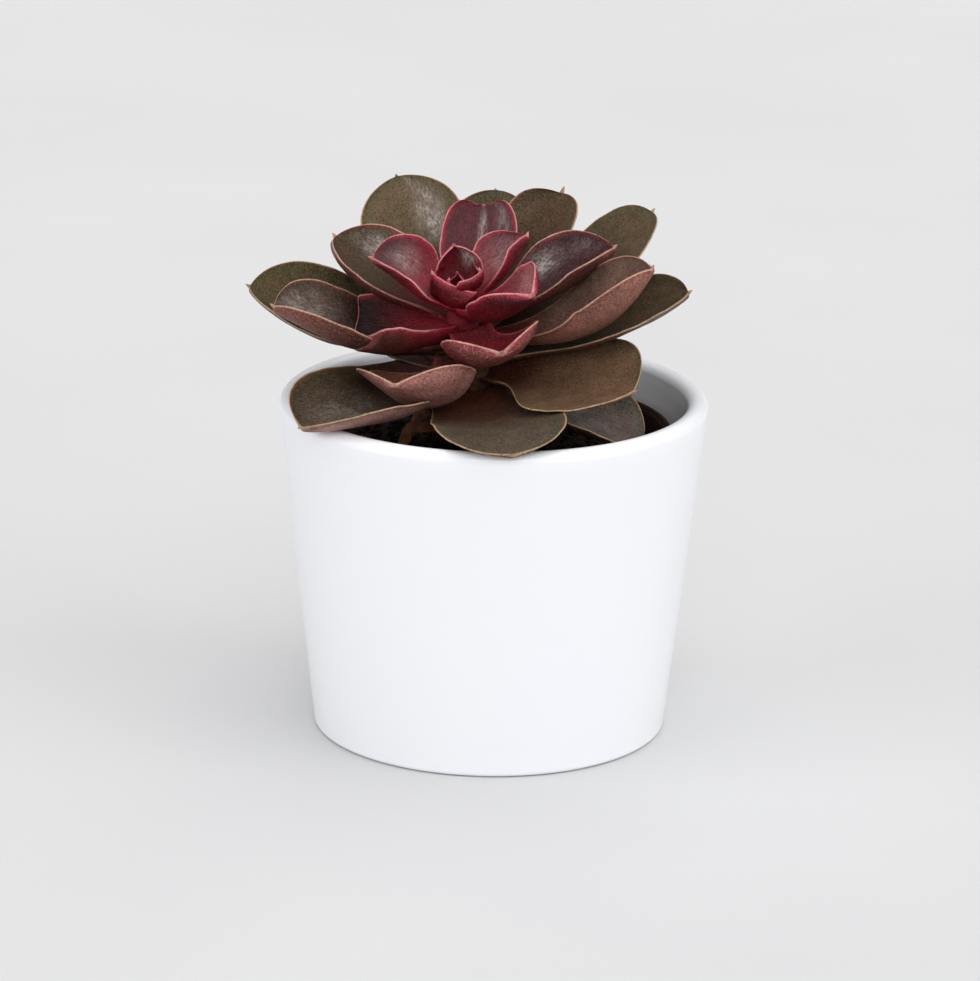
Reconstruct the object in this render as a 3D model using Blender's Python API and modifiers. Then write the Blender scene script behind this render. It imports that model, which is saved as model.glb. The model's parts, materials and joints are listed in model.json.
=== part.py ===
"""Potted echeveria.

A rosette of fleshy leaves on a short stem grows in the soil of a thin nursery pot,
which stands inside a plain white cover pot. Blender units are metres, +Z is up,
and the origin is the middle of the cover pot's flat base. The sizes below are in
millimetres and degrees.
"""
import math

import bpy
import numpy as np
from mathutils import Matrix, Vector

MM = 0.001
GAP = 0.3
MERGE_DISTANCE_M = 0.00001
SHARP_EDGE_ANGLE = 50

# Cover pot: a tapering wall, a rounded lip and a flat base.
COVER_HEIGHT = 115.0
COVER_RIM_RADIUS = 72.0
COVER_BASE_RADIUS = 59.7
COVER_LIP = 7.0
COVER_FLOOR = 7.0
COVER_CORNER = 1.5
COVER_INSIDE_BASE_RADIUS = 54.0
COVER_SIDES = 72
COVER_LIP_STEPS = 8
COVER_CORNER_STEPS = 3

# Nursery pot: thin, with a rolled rim and round drain holes in its floor.
NURSERY_RIM_HEIGHT = 103.7
NURSERY_RIM_RADIUS = 60.2
NURSERY_RIM_DEPTH = 5.0
NURSERY_RIM_WALL = 2.0
NURSERY_RIM_EDGE = 0.6
NURSERY_SHOULDER_RADIUS = 57.8
NURSERY_BASE_RADIUS = 43.0
NURSERY_WALL = 1.0
NURSERY_SIDES = 56
DRAIN_HOLES = 6
DRAIN_RADIUS = 4.0
DRAIN_RING_RADIUS = 28.0
DRAIN_SIDES = 16
DRAIN_CUTTER_DEPTH = 6.0

# Soil: the nursery pot's filling, a little higher round the stem.
SOIL_EDGE_HEIGHT = 96.0
SOIL_MOUND = 1.5
SOIL_RINGS = (0.25, 0.5, 0.75, 1.0)
SOIL_SIDES = 56

# Stem: it leans, and its crown is the middle of the rosette.
CROWN = (-12.0, -8.0, 151.0)
LEAN_LEFT = 8.0
LEAN_FORWARD = 12.0
STEM_RADIUS = 6.5
STEM_TIP_RADIUS = 2.4
STEM_TAPER = 14.0
STEM_TAPER_EASING = 0.7
STEM_TAPER_RINGS = 6
STEM_TIP_BEVEL = 0.7
STEM_LENGTH = 78.0
STEM_FOOT_EDGE = 1.0
STEM_TIP_HEIGHT = 1.2
STEM_HOLE_CLEARANCE = 0.4
STEM_SIDES = 20

# Leaves. Each starts at the stem at drop below the crown and points along azimuth
# (0 right, 90 back, 180 left, 270 front). Its midrib rises at the angle rise at the
# base, and ends at reach from the stem's axis and height above the crown, at
# tip_angle. The blade is width wide at the share widest of its length, and base
# wide at the stem. Each side of it leaves the midrib at the angle fold and turns up
# by cup on its way to the margin, first the side at azimuth + 90, then the other.
# The angle roll turns the blade about its midrib, and notch pushes the shoulders of
# the tip past the midrib.
LEAF_DEFAULTS = dict(
    rise=20, tip_angle=10, width=32, widest=0.62, base=7.5, blunt=1.7, squareness=2.4,
    cup=(40, 40), fold=(6, 6), roll=0, notch=0.0, thick=3.0, handle=0.36,
    base_lift=0.35, neck=0.0,
)
MARGIN_THICKNESS = 1.0
THICKNESS_ALONG = ((0.0, 0.15, 0.6, 1.0), (0.85, 1.0, 0.9, 0.5))
THICKNESS_ROUNDING = 2.2
THINNED_AT_TIP = 0.6
THINNED_UNDER_WIDTH = 6.4
FULLY_CUPPED = 0.6
ROLL_EASING = 1.3
SHOULDER_START = 0.7
TIP_CROWDING = 1.7
SPINE_LENGTH = 2.2
SPINE_RADIUS = 1.1
SPINE_TIP_RADIUS = 0.35
ROOT_CLEARANCE = 0.35
ROOT_DEPTH = 3.0
ROOT_DEPTH_EASING = 4
MIDRIB_STEPS = 200
NEARLY_FLAT = 0.01
SUNK_ROOT_RADIUS = 1.2
LARGE_LEAF_WIDTH = 30
LARGE_LEAF_GRID = (12, 7)
SMALL_LEAF_GRID = (10, 5)
LEAVES = {
    "leaf_left_inner": dict(
        drop=4.5, azimuth=176, reach=26.6, height=16.5, rise=48, tip_angle=22, width=34,
        widest=0.42, base=10, cup=(38, 50),
    ),
    "leaf_front_right_inner": dict(
        drop=5.2, azimuth=318, reach=34, height=9, rise=2, tip_angle=40, width=33, widest=0.6,
        base=10, blunt=2.5, squareness=4, cup=(55, 44), fold=(12, 12), roll=1, base_lift=0.9,
    ),
    "leaf_back_right_inner": dict(
        drop=3, azimuth=39, reach=30.4, height=9.8, rise=36, tip_angle=40, width=25,
        cup=(55, 55), fold=(15, 15), roll=-10,
    ),
    "leaf_back_inner": dict(
        drop=8, azimuth=74.5, reach=37, height=16, rise=25, tip_angle=62, width=27.5,
        blunt=2.4, squareness=4, cup=(35, 14), fold=(8, 8), roll=-3, notch=2.4,
    ),
    "leaf_left_back": dict(
        drop=8.5, azimuth=147, reach=48, height=14.5, rise=22, tip_angle=40, width=33,
        widest=0.6, cup=(46, 26), roll=-3,
    ),
    "leaf_front_left_inner": dict(
        drop=11.5, azimuth=198, reach=37.4, height=-2.7, rise=12, tip_angle=-6, width=28,
        widest=0.72, blunt=3.2, squareness=5, cup=(38, 28), fold=(8, 10), notch=-4.5,
    ),
    "leaf_right_inner": dict(
        drop=10.3, azimuth=20, reach=56, height=2.7, rise=10, tip_angle=22, width=34.5,
        cup=(45, 56), fold=(8, 8),
    ),
    "leaf_front_middle": dict(
        drop=13.5, azimuth=292, reach=37, height=-5, rise=-22, tip_angle=40, width=38,
        blunt=2.4, squareness=5, cup=(50, 68), fold=(0, 0),
    ),
    "leaf_right_middle": dict(
        drop=15, azimuth=349.5, reach=66, height=8.2, rise=-3, tip_angle=54, width=38,
        cup=(15, 40), fold=(20, 30), roll=6, handle=0.45,
    ),
    "leaf_left_middle": dict(
        drop=15.5, azimuth=189, reach=61, height=8.5, rise=-4, tip_angle=38, width=35, blunt=2,
        squareness=3, cup=(52, 40), fold=(12, 12), roll=-5,
    ),
    "leaf_back_right": dict(
        drop=16, azimuth=55, reach=58.6, height=10.6, rise=4, tip_angle=40, width=32.5,
        blunt=2.4, squareness=3.6, cup=(50, 4), fold=(4, 4),
    ),
    "leaf_back_left_tall": dict(
        drop=17.5, azimuth=112, reach=50, height=24, tip_angle=62, width=36, widest=0.7,
        cup=(26, 10), fold=(4, 4), roll=-12,
    ),
    "leaf_right_back": dict(
        drop=19.9, azimuth=29.6, reach=73.4, height=2.6, rise=7, tip_angle=30, width=38,
        blunt=2.5, squareness=4, cup=(10, 18), fold=(4, 4), roll=3,
    ),
    "leaf_left_outer": dict(
        drop=20.9, azimuth=171, reach=70.5, height=6.5, rise=2, tip_angle=30, width=42,
        cup=(30, 30), fold=(4, 4), roll=-6,
    ),
    "leaf_back_middle": dict(
        drop=22.8, azimuth=79.5, reach=58, height=9, rise=0, tip_angle=38, width=35,
        cup=(30, 0), fold=(4, 4),
    ),
    "leaf_right_outer": dict(
        drop=24, azimuth=0.6, reach=75.5, height=-8.4, rise=5, tip_angle=21, width=41,
        widest=0.66, blunt=1.9, cup=(18, 22), fold=(4, 4), roll=-2, neck=0.12,
    ),
    "leaf_front_left_middle": dict(
        drop=22.5, azimuth=239, reach=43, height=-13, rise=-12, tip_angle=30, width=46,
        widest=0.5, blunt=2.5, squareness=4, cup=(24, -10), fold=(10, 21), roll=8,
        base_lift=0.9,
    ),
    "leaf_front_right_low": dict(
        drop=29, azimuth=327, reach=65.5, height=-23.5, rise=0, width=45, widest=0.48, base=10,
        blunt=2.0, squareness=3.2, cup=(15, 15), fold=(4, 4), roll=2, base_lift=0.8,
    ),
    "leaf_back_left_low": dict(
        drop=29.5, azimuth=140, reach=46, height=-15.5, rise=5, tip_angle=35, width=28,
        cup=(30, 30), fold=(4, 4),
    ),
    "leaf_front_left_low": dict(
        drop=29.5, azimuth=220, reach=70, height=-18.4, rise=-2, tip_angle=5, width=40,
        blunt=2.2, squareness=2.8, cup=(22, 20), fold=(10, 10), roll=-2,
    ),
    "leaf_back_right_low": dict(
        drop=29.5, azimuth=54, reach=54, height=-19, rise=2, tip_angle=25, width=28,
        cup=(30, 30), fold=(4, 4),
    ),
    "leaf_back_low": dict(
        drop=33.2, azimuth=102, reach=54, height=-17, rise=2, tip_angle=28, width=30,
        cup=(30, 30), fold=(4, 4),
    ),
    "leaf_front_low": dict(
        drop=33, azimuth=282.5, reach=73.7, height=-22.6, rise=-4, tip_angle=-3, width=43,
        widest=0.64, base=10, blunt=2.1, squareness=2.6, cup=(12, 20), fold=(2, 4), roll=-7,
    ),
    "leaf_right_lowest": dict(
        drop=37, azimuth=331, reach=61.5, height=-48.3, rise=-8, tip_angle=-32, width=41,
        widest=0.5, cup=(30, 40), fold=(4, 4), roll=-6,
    ),
    "leaf_back_left_narrow": dict(
        drop=37, azimuth=128, reach=41, height=-37, rise=0, width=15, base=5, cup=(30, 30),
        fold=(4, 4),
    ),
}

HEART_LEAVES = {
    "heart_back": dict(
        drop=0, azimuth=84, reach=4.5, height=16, rise=55, tip_angle=112, width=17.5,
        widest=0.52, base=10, blunt=2.0, squareness=2.2, cup=(50, 12), fold=(20, 8), thick=2,
        handle=0.4,
    ),
    "heart_front": dict(
        drop=2, azimuth=245, reach=9, height=9, rise=-5, tip_angle=75, width=24, widest=0.45,
        base=9, blunt=1.6, squareness=2, cup=(60, 60), fold=(5, 5), thick=2, base_lift=0.8,
    ),
    "heart_right": dict(
        drop=0, azimuth=338, reach=9, height=9.5, rise=50, tip_angle=100, width=17, widest=0.5,
        base=5, blunt=1.3, squareness=2, cup=(60, 60), fold=(10, 10), thick=1.6,
    ),
    "heart_left": dict(
        drop=0, azimuth=205, reach=3, height=6, rise=60, tip_angle=110, width=9, widest=0.5,
        base=4, blunt=1.3, squareness=2, cup=(60, 60), fold=(10, 10), thick=1.4,
    ),
    "heart_middle": dict(
        drop=-1, azimuth=70, reach=1.5, height=7, rise=75, tip_angle=110, width=8, widest=0.5,
        base=4, blunt=1.3, squareness=2, cup=(60, 60), fold=(10, 10), thick=1.2,
    ),
}

# Withered leaves under the rosette: the four points of each one's curve, from its
# root at the stem to its tip.
WITHERED_LEAVES = {
    "withered_leaf_arched": (
        (-11.2, -4.6, 101.0),
        (-17.0, -14.0, 109.0),
        (-29.5, -17.0, 118.0),
        (-32.0, -15.0, 97.3),
    ),
    "withered_leaf_hanging": (
        (-13.2, -3.2, 114.0),
        (-19.0, -7.0, 116.5),
        (-27.0, -9.0, 114.0),
        (-28.0, -9.5, 103.0),
    ),
}
WITHERED_WIDTH = 6.5
WITHERED_TIP_WIDTH = 2.0
WITHERED_THICKNESS = 0.8
WITHERED_CURL = 70
WITHERED_STEPS = 100
WITHERED_GRID = (11, 5)

# Surfaces: the colour, roughness and metallic value of each material.
SURFACES = {
    "white_glaze": ((0.86, 0.87, 0.88), 0.25, 0.0),
    "terracotta_plastic": ((0.22, 0.09, 0.05), 0.55, 0.0),
    "dark_soil": ((0.03, 0.02, 0.015), 0.95, 0.0),
    "outer_leaf": ((0.12, 0.10, 0.05), 0.5, 0.0),
    "inner_leaf": ((0.20, 0.06, 0.07), 0.45, 0.0),
    "withered_leaf": ((0.20, 0.11, 0.05), 0.9, 0.0),
}


def clear_scene():
    for old in list(bpy.data.objects):
        bpy.data.objects.remove(old, do_unlink=True)


def make_collection(name):
    collection = bpy.data.collections.new(name)
    bpy.context.scene.collection.children.link(collection)
    return collection


def make_material(name):
    colour, roughness, metallic = SURFACES[name]
    material = bpy.data.materials.new(name)
    material.use_nodes = True
    shader = material.node_tree.nodes["Principled BSDF"]
    shader.inputs["Base Color"].default_value = (*colour, 1.0)
    shader.inputs["Roughness"].default_value = roughness
    shader.inputs["Metallic"].default_value = metallic
    material.diffuse_color = (*colour, 1.0)
    return material


def add_object(name, mesh, collection, material):
    item = bpy.data.objects.new(name, mesh)
    mesh.materials.append(material)
    collection.objects.link(item)
    return item


def arc(centre, radius, start, end, steps):
    """Points of an arc in the turning plane, from the angle start to end."""
    angles = np.radians(np.linspace(start, end, steps + 1))
    return [(centre[0] + radius * math.cos(a), centre[1] + radius * math.sin(a)) for a in angles]


def turned_object(name, profile, sides, collection, material):
    """A profile of (radius, height) points, turned once round the Z axis."""
    mesh = bpy.data.meshes.new(name)
    points = [(radius * MM, 0.0, height * MM) for radius, height in profile]
    edges = [(i, i + 1) for i in range(len(points) - 1)]
    mesh.from_pydata(points, edges, [])
    item = add_object(name, mesh, collection, material)
    screw = item.modifiers.new("turn", "SCREW")
    screw.angle = math.tau
    screw.steps = sides
    screw.render_steps = sides
    screw.use_merge_vertices = True
    screw.merge_threshold = MERGE_DISTANCE_M
    screw.use_smooth_shade = True
    return item


def apply_modifiers(item):
    """Replace the object's mesh by its evaluated one."""
    depsgraph = bpy.context.evaluated_depsgraph_get()
    mesh = bpy.data.meshes.new_from_object(item.evaluated_get(depsgraph))
    item.modifiers.clear()
    item.data = mesh


def cut(item, cutter_collection):
    boolean = item.modifiers.new("cut", "BOOLEAN")
    boolean.operation = "DIFFERENCE"
    boolean.operand_type = "COLLECTION"
    boolean.collection = cutter_collection


def crown_matrix():
    """The rosette's frame: Z up the leaning stem, X to the right, Y to the back."""
    up = Vector((-math.sin(math.radians(LEAN_LEFT)), -math.sin(math.radians(LEAN_FORWARD)), 0.0))
    up.z = math.sqrt(1.0 - up.x ** 2 - up.y ** 2)
    right = Vector((1.0, 0.0, 0.0))
    right = (right - up * right.dot(up)).normalized()
    back = up.cross(right)
    turn = Matrix((right, back, up)).transposed().to_4x4()
    return Matrix.Translation(Vector(CROWN) * MM) @ turn


def stem_radius(drop):
    taper = np.clip(drop / STEM_TAPER, 0.0, 1.0) ** STEM_TAPER_EASING
    return STEM_TIP_RADIUS + (STEM_RADIUS - STEM_TIP_RADIUS) * taper


def cover_pot(collection):
    lip = COVER_LIP / 2
    lip_centre = (COVER_RIM_RADIUS - lip, COVER_HEIGHT - lip)
    corner_centre = (COVER_BASE_RADIUS - COVER_CORNER, COVER_CORNER)
    profile = [(0.0, COVER_FLOOR), (COVER_INSIDE_BASE_RADIUS, COVER_FLOOR)]
    profile += arc(lip_centre, lip, 180, 0, COVER_LIP_STEPS)
    profile += arc(corner_centre, COVER_CORNER, 0, -90, COVER_CORNER_STEPS)
    profile.append((0.0, 0.0))
    glaze = make_material("white_glaze")
    return turned_object("cover_pot", profile, COVER_SIDES, collection, glaze)


def nursery_pot(collection, cutters):
    base = COVER_FLOOR + GAP
    rim_bottom = NURSERY_RIM_HEIGHT - NURSERY_RIM_DEPTH
    inner_rim = NURSERY_RIM_RADIUS - NURSERY_RIM_WALL
    profile = [
        (0.0, base + NURSERY_WALL),
        (NURSERY_BASE_RADIUS - NURSERY_WALL, base + NURSERY_WALL),
        (NURSERY_SHOULDER_RADIUS - NURSERY_WALL, rim_bottom),
        (inner_rim - NURSERY_RIM_EDGE, NURSERY_RIM_HEIGHT - NURSERY_RIM_EDGE),
        (inner_rim, NURSERY_RIM_HEIGHT),
        (NURSERY_RIM_RADIUS - NURSERY_RIM_EDGE, NURSERY_RIM_HEIGHT),
        (NURSERY_RIM_RADIUS, NURSERY_RIM_HEIGHT - NURSERY_RIM_EDGE),
        (NURSERY_RIM_RADIUS, rim_bottom),
        (NURSERY_SHOULDER_RADIUS, rim_bottom - NURSERY_RIM_EDGE),
        (NURSERY_BASE_RADIUS, base),
        (0.0, base),
    ]
    plastic = make_material("terracotta_plastic")
    pot = turned_object("nursery_pot", profile, NURSERY_SIDES, collection, plastic)
    for index in range(DRAIN_HOLES):
        angle = math.tau * index / DRAIN_HOLES
        bpy.ops.mesh.primitive_cylinder_add(
            vertices=DRAIN_SIDES, radius=DRAIN_RADIUS * MM, depth=DRAIN_CUTTER_DEPTH * MM)
        hole = bpy.context.object
        hole.name = f"drain_cutter_{index + 1}"
        hole.location = (
            DRAIN_RING_RADIUS * MM * math.cos(angle),
            DRAIN_RING_RADIUS * MM * math.sin(angle),
            (base + NURSERY_WALL / 2) * MM,
        )
        move_to_cutters(hole, cutters)
    cut(pot, cutters)
    return pot


def move_to_cutters(item, cutters):
    for owner in list(item.users_collection):
        owner.objects.unlink(item)
    cutters.objects.link(item)
    item.hide_render = True
    item.display_type = "WIRE"


def soil(collection, cutters, crown):
    bottom = COVER_FLOOR + 2 * GAP + NURSERY_WALL
    slope = (NURSERY_SHOULDER_RADIUS - NURSERY_BASE_RADIUS) / (
        NURSERY_RIM_HEIGHT - NURSERY_RIM_DEPTH - COVER_FLOOR - GAP)
    wall_inside = NURSERY_BASE_RADIUS - NURSERY_WALL - 2 * GAP
    edge = wall_inside + slope * (SOIL_EDGE_HEIGHT - bottom)
    profile = [(0.0, SOIL_EDGE_HEIGHT + SOIL_MOUND)]
    for share in SOIL_RINGS:
        height = SOIL_EDGE_HEIGHT + SOIL_MOUND * math.cos(share * math.pi / 2)
        profile.append((edge * share, height))
    profile += [(wall_inside, bottom), (0.0, bottom)]
    earth = make_material("dark_soil")
    filling = turned_object("soil", profile, SOIL_SIDES, collection, earth)
    depth = STEM_LENGTH + GAP
    bpy.ops.mesh.primitive_cylinder_add(
        vertices=STEM_SIDES, radius=(STEM_RADIUS + STEM_HOLE_CLEARANCE) * MM, depth=depth * MM)
    hole = bpy.context.object
    hole.name = "stem_hole_cutter"
    hole.matrix_world = crown @ Matrix.Translation((0.0, 0.0, -depth / 2 * MM))
    move_to_cutters(hole, cutters)
    cut(filling, cutters)
    return filling


def leaf_half_widths(along, leaf):
    """Half the blade's width at each share of its length."""
    base = leaf["base"] / leaf["width"]
    grown = np.clip((along - leaf["neck"]) / (leaf["widest"] - leaf["neck"]), 0.0, 1.0)
    growing = base + (1.0 - base) * (0.5 - 0.5 * np.cos(np.pi * grown))
    past = np.clip((along - leaf["widest"]) / (1.0 - leaf["widest"]), 0.0, 1.0)
    closing = np.clip(1.0 - past ** leaf["squareness"], 0.0, 1.0) ** (1.0 / leaf["blunt"])
    share = np.where(along < leaf["widest"], growing, closing)
    return np.maximum(share * leaf["width"] / 2, SPINE_RADIUS)


def leaf_midrib(leaf, sunk):
    """Points (radius, height) of the midrib, a cubic curve away from the stem."""
    rise = math.radians(leaf["rise"])
    tip = math.radians(leaf["tip_angle"])
    root_radius = SUNK_ROOT_RADIUS
    if not sunk:
        root_bottom = leaf["drop"] + ROOT_DEPTH * math.cos(rise) ** ROOT_DEPTH_EASING
        clearance = ROOT_CLEARANCE + max(0.0, -math.sin(rise)) * leaf["thick"]
        root_radius = stem_radius(root_bottom) + clearance
    start = np.array([root_radius, -leaf["drop"]])
    end = np.array([leaf["reach"], leaf["height"]])
    handle = leaf["handle"] * np.linalg.norm(end - start)
    leave = start + handle * np.array([math.cos(rise), math.sin(rise)])
    arrive = end - handle * np.array([math.cos(tip), math.sin(tip)])
    return bezier(start, leave, arrive, end, MIDRIB_STEPS)


def bezier(start, leave, arrive, end, count):
    t = np.linspace(0.0, 1.0, count)[:, None]
    rest = 1.0 - t
    return rest ** 3 * start + 3 * rest ** 2 * t * leave + 3 * rest * t ** 2 * arrive + t ** 3 * end


def along_curve(points, shares):
    """Places and directions at shares of a curve's length."""
    steps = np.linalg.norm(np.diff(points, axis=0), axis=1)
    length = np.concatenate([[0.0], np.cumsum(steps)])
    place = np.stack([np.interp(shares * length[-1], length, axis) for axis in points.T], axis=-1)
    slope = np.gradient(points, length, axis=0)
    way = np.stack([np.interp(shares * length[-1], length, axis) for axis in slope.T], axis=-1)
    return place, way / np.linalg.norm(way, axis=1)[:, None]


def curled_blade(centre, side, normal, half_width, fold, cup, thickness, columns):
    """Upper and lower grids of a blade whose sides curl up as arcs from its midrib.

    fold and cup hold a row for each station and a column for each side, in radians.
    thickness is a function of the place across, -1 to 1.
    """
    across = places_across(columns)
    sign = np.sign(across)
    start = np.where(across >= 0, fold[:, :1], fold[:, 1:])
    turn = np.where(across >= 0, cup[:, :1], cup[:, 1:])
    turn = np.where(np.abs(turn) < NEARLY_FLAT, NEARLY_FLAT, turn)
    angle = start + turn * np.abs(across)
    out = half_width[:, None] * (np.sin(angle) - np.sin(start)) / turn * sign
    lift = half_width[:, None] * (np.cos(start) - np.cos(angle)) / turn
    upper = centre[:, None] + weighted(side, out) + weighted(normal, lift)
    facing = weighted(normal, np.cos(angle)) - weighted(side, np.sin(angle) * sign)
    lower = upper - facing * thickness(across)[..., None]
    return upper, lower


def places_across(columns):
    """Places from margin to margin, -1 to 1, closer together near the margins."""
    return np.sin(np.linspace(-np.pi / 2, np.pi / 2, columns))


def weighted(directions, amounts):
    """A direction for each station times an amount for each of its points."""
    return directions[:, None] * amounts[..., None]


def closed_blade_mesh(name, upper, lower):
    """A closed mesh between two grids, with a rim round their edges."""
    rows, columns = upper.shape[:2]
    top = np.arange(rows * columns).reshape(rows, columns)
    under = top + rows * columns
    faces = []
    for i in range(rows - 1):
        for j in range(columns - 1):
            faces += split(top[i, j], top[i + 1, j], top[i + 1, j + 1], top[i, j + 1])
            faces += split(under[i, j], under[i, j + 1], under[i + 1, j + 1], under[i + 1, j])
        faces += split(top[i, 0], under[i, 0], under[i + 1, 0], top[i + 1, 0])
        faces += split(top[i, -1], top[i + 1, -1], under[i + 1, -1], under[i, -1])
    for j in range(columns - 1):
        faces += split(top[0, j], top[0, j + 1], under[0, j + 1], under[0, j])
        faces += split(top[-1, j], under[-1, j], under[-1, j + 1], top[-1, j + 1])
    points = np.concatenate([upper.reshape(-1, 3), lower.reshape(-1, 3)]) * MM
    mesh = bpy.data.meshes.new(name)
    mesh.from_pydata(points.tolist(), [], faces)
    mesh.shade_smooth()
    mesh.set_sharp_from_angle(angle=math.radians(SHARP_EDGE_ANGLE))
    return mesh


def split(a, b, c, d):
    """The two triangles of a four-sided face."""
    return [(int(a), int(b), int(c)), (int(a), int(c), int(d))]


def leaf_mesh(name, leaf, sunk):
    """One leaf in its own plane, pointing along +X, with the crown at the origin."""
    rows, columns = LARGE_LEAF_GRID if leaf["width"] >= LARGE_LEAF_WIDTH else SMALL_LEAF_GRID
    along = 1.0 - (1.0 - np.linspace(0.0, 1.0, rows)) ** TIP_CROWDING
    place, way = along_curve(leaf_midrib(leaf, sunk), along)
    half_width = leaf_half_widths(along, leaf)

    # The spine at the tip is one more station past the end of the blade.
    place = np.concatenate([place, place[-1:] + way[-1:] * SPINE_LENGTH])
    way = np.concatenate([way, way[-1:]])
    along = np.append(along, 1.0)
    half_width = np.append(half_width, SPINE_TIP_RADIUS)

    centre = np.stack([place[:, 0], np.zeros(len(place)), place[:, 1]], axis=-1)
    grown = np.clip(along / FULLY_CUPPED, 0.0, 1.0)[:, None]
    roll = math.radians(leaf["roll"]) * grown ** ROLL_EASING
    level = np.array([[0.0, 1.0, 0.0]])
    rising = np.stack([-way[:, 1], np.zeros(len(way)), way[:, 0]], axis=-1)
    side = level * np.cos(roll) + rising * np.sin(roll)
    normal = rising * np.cos(roll) - level * np.sin(roll)

    opening = leaf["base_lift"] + (1.0 - leaf["base_lift"]) * grown
    fold = np.radians(np.array([leaf["fold"]], float)) * opening
    cup = np.radians(np.array([leaf["cup"]], float)) * opening
    core = leaf["thick"] * np.interp(along, *THICKNESS_ALONG)[:, None]

    def thickness(across):
        rounded = 1.0 - np.abs(across) ** THICKNESS_ROUNDING
        narrowness = np.clip(2 * half_width / THINNED_UNDER_WIDTH, 0.0, 1.0)[:, None]
        thinning = THINNED_AT_TIP + (1.0 - THINNED_AT_TIP) * narrowness
        return (MARGIN_THICKNESS + (core - MARGIN_THICKNESS) * rounded) * thinning

    upper, lower = curled_blade(centre, side, normal, half_width, fold, cup, thickness, columns)
    shoulder = np.clip((along - SHOULDER_START) / (1.0 - SHOULDER_START), 0.0, 1.0)[:, None] ** 2
    push = leaf["notch"] * shoulder * (1.0 - (1.0 - np.abs(places_across(columns))) ** 2)
    push[-1] = 0.0
    forward = np.stack([way[:, 0], np.zeros(len(way)), way[:, 1]], axis=-1)
    shift = weighted(forward, push)
    return closed_blade_mesh(name, upper + shift, lower + shift)


def leaf_object(name, values, collection, crown, material, sunk=False):
    leaf = {**LEAF_DEFAULTS, **values}
    item = add_object(name, leaf_mesh(name, leaf, sunk), collection, material)
    item.parent = crown
    item.rotation_euler.z = math.radians(leaf["azimuth"])
    return item


def stem_with_heart(collection, crown, material):
    """The stem, and the small leaves of the heart grown together on its tip."""
    profile = [
        (0.0, STEM_TIP_HEIGHT),
        (STEM_TIP_RADIUS * STEM_TIP_BEVEL, STEM_TIP_HEIGHT * STEM_TIP_BEVEL),
    ]
    for drop in np.linspace(0.0, STEM_TAPER, STEM_TAPER_RINGS):
        profile.append((float(stem_radius(drop)), -float(drop)))
    profile += [
        (STEM_RADIUS, STEM_FOOT_EDGE - STEM_LENGTH),
        (STEM_RADIUS - STEM_FOOT_EDGE, -STEM_LENGTH),
        (0.0, -STEM_LENGTH),
    ]
    stem = turned_object("stem_with_heart", profile, STEM_SIDES, collection, material)
    stem.parent = crown
    heart = make_collection("heart_leaves")
    for name, values in HEART_LEAVES.items():
        leaf_object(name, values, heart, crown, material, sunk=True)
    bpy.context.view_layer.update()
    join = stem.modifiers.new("join", "BOOLEAN")
    join.operation = "UNION"
    join.operand_type = "COLLECTION"
    join.collection = heart
    join.solver = "MANIFOLD"
    apply_modifiers(stem)
    for item in list(heart.objects):
        bpy.data.objects.remove(item, do_unlink=True)
    bpy.data.collections.remove(heart)
    return stem


def withered_leaf(name, points, collection, material):
    """A dry strip that curls over sideways along its curve."""
    rows, columns = WITHERED_GRID
    share = np.linspace(0.0, 1.0, rows)
    place, way = along_curve(bezier(*np.array(points), WITHERED_STEPS), share)
    ends = np.array(points[-1]) - np.array(points[0])
    level = np.cross([0.0, 0.0, 1.0], ends)
    level /= np.linalg.norm(level)
    side = level - way * (way @ level)[:, None]
    side /= np.linalg.norm(side, axis=1)[:, None]
    normal = np.cross(way, side)
    narrowing = np.clip(2.0 * share - 1.0, 0.0, 1.0)
    half_width = (WITHERED_WIDTH + (WITHERED_TIP_WIDTH - WITHERED_WIDTH) * narrowing) / 2
    fold = np.zeros((rows, 2))
    cup = np.full((rows, 2), -math.radians(WITHERED_CURL))

    def thickness(across):
        return np.full((rows, len(across)), WITHERED_THICKNESS)

    upper, lower = curled_blade(place, side, normal, half_width, fold, cup, thickness, columns)
    return add_object(name, closed_blade_mesh(name, upper, lower), collection, material)


def build():
    clear_scene()
    parts = make_collection("potted_echeveria")
    drain_cutters = make_collection("drain_cutters")
    stem_cutters = make_collection("stem_cutters")
    crown = bpy.data.objects.new("crown", None)
    crown.matrix_world = crown_matrix()
    parts.objects.link(crown)

    cover_pot(parts)
    nursery_pot(parts, drain_cutters)
    soil(parts, stem_cutters, crown_matrix())
    young = make_material("inner_leaf")
    old = make_material("outer_leaf")
    for name, values in LEAVES.items():
        leaf_object(name, values, parts, crown, young if "inner" in name else old)
    stem_with_heart(parts, crown, young)
    dry = make_material("withered_leaf")
    for name, points in WITHERED_LEAVES.items():
        withered_leaf(name, points, parts, dry)


build()
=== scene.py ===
import json
import math
import bpy
import numpy as np
from mathutils import Matrix, Vector

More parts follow.
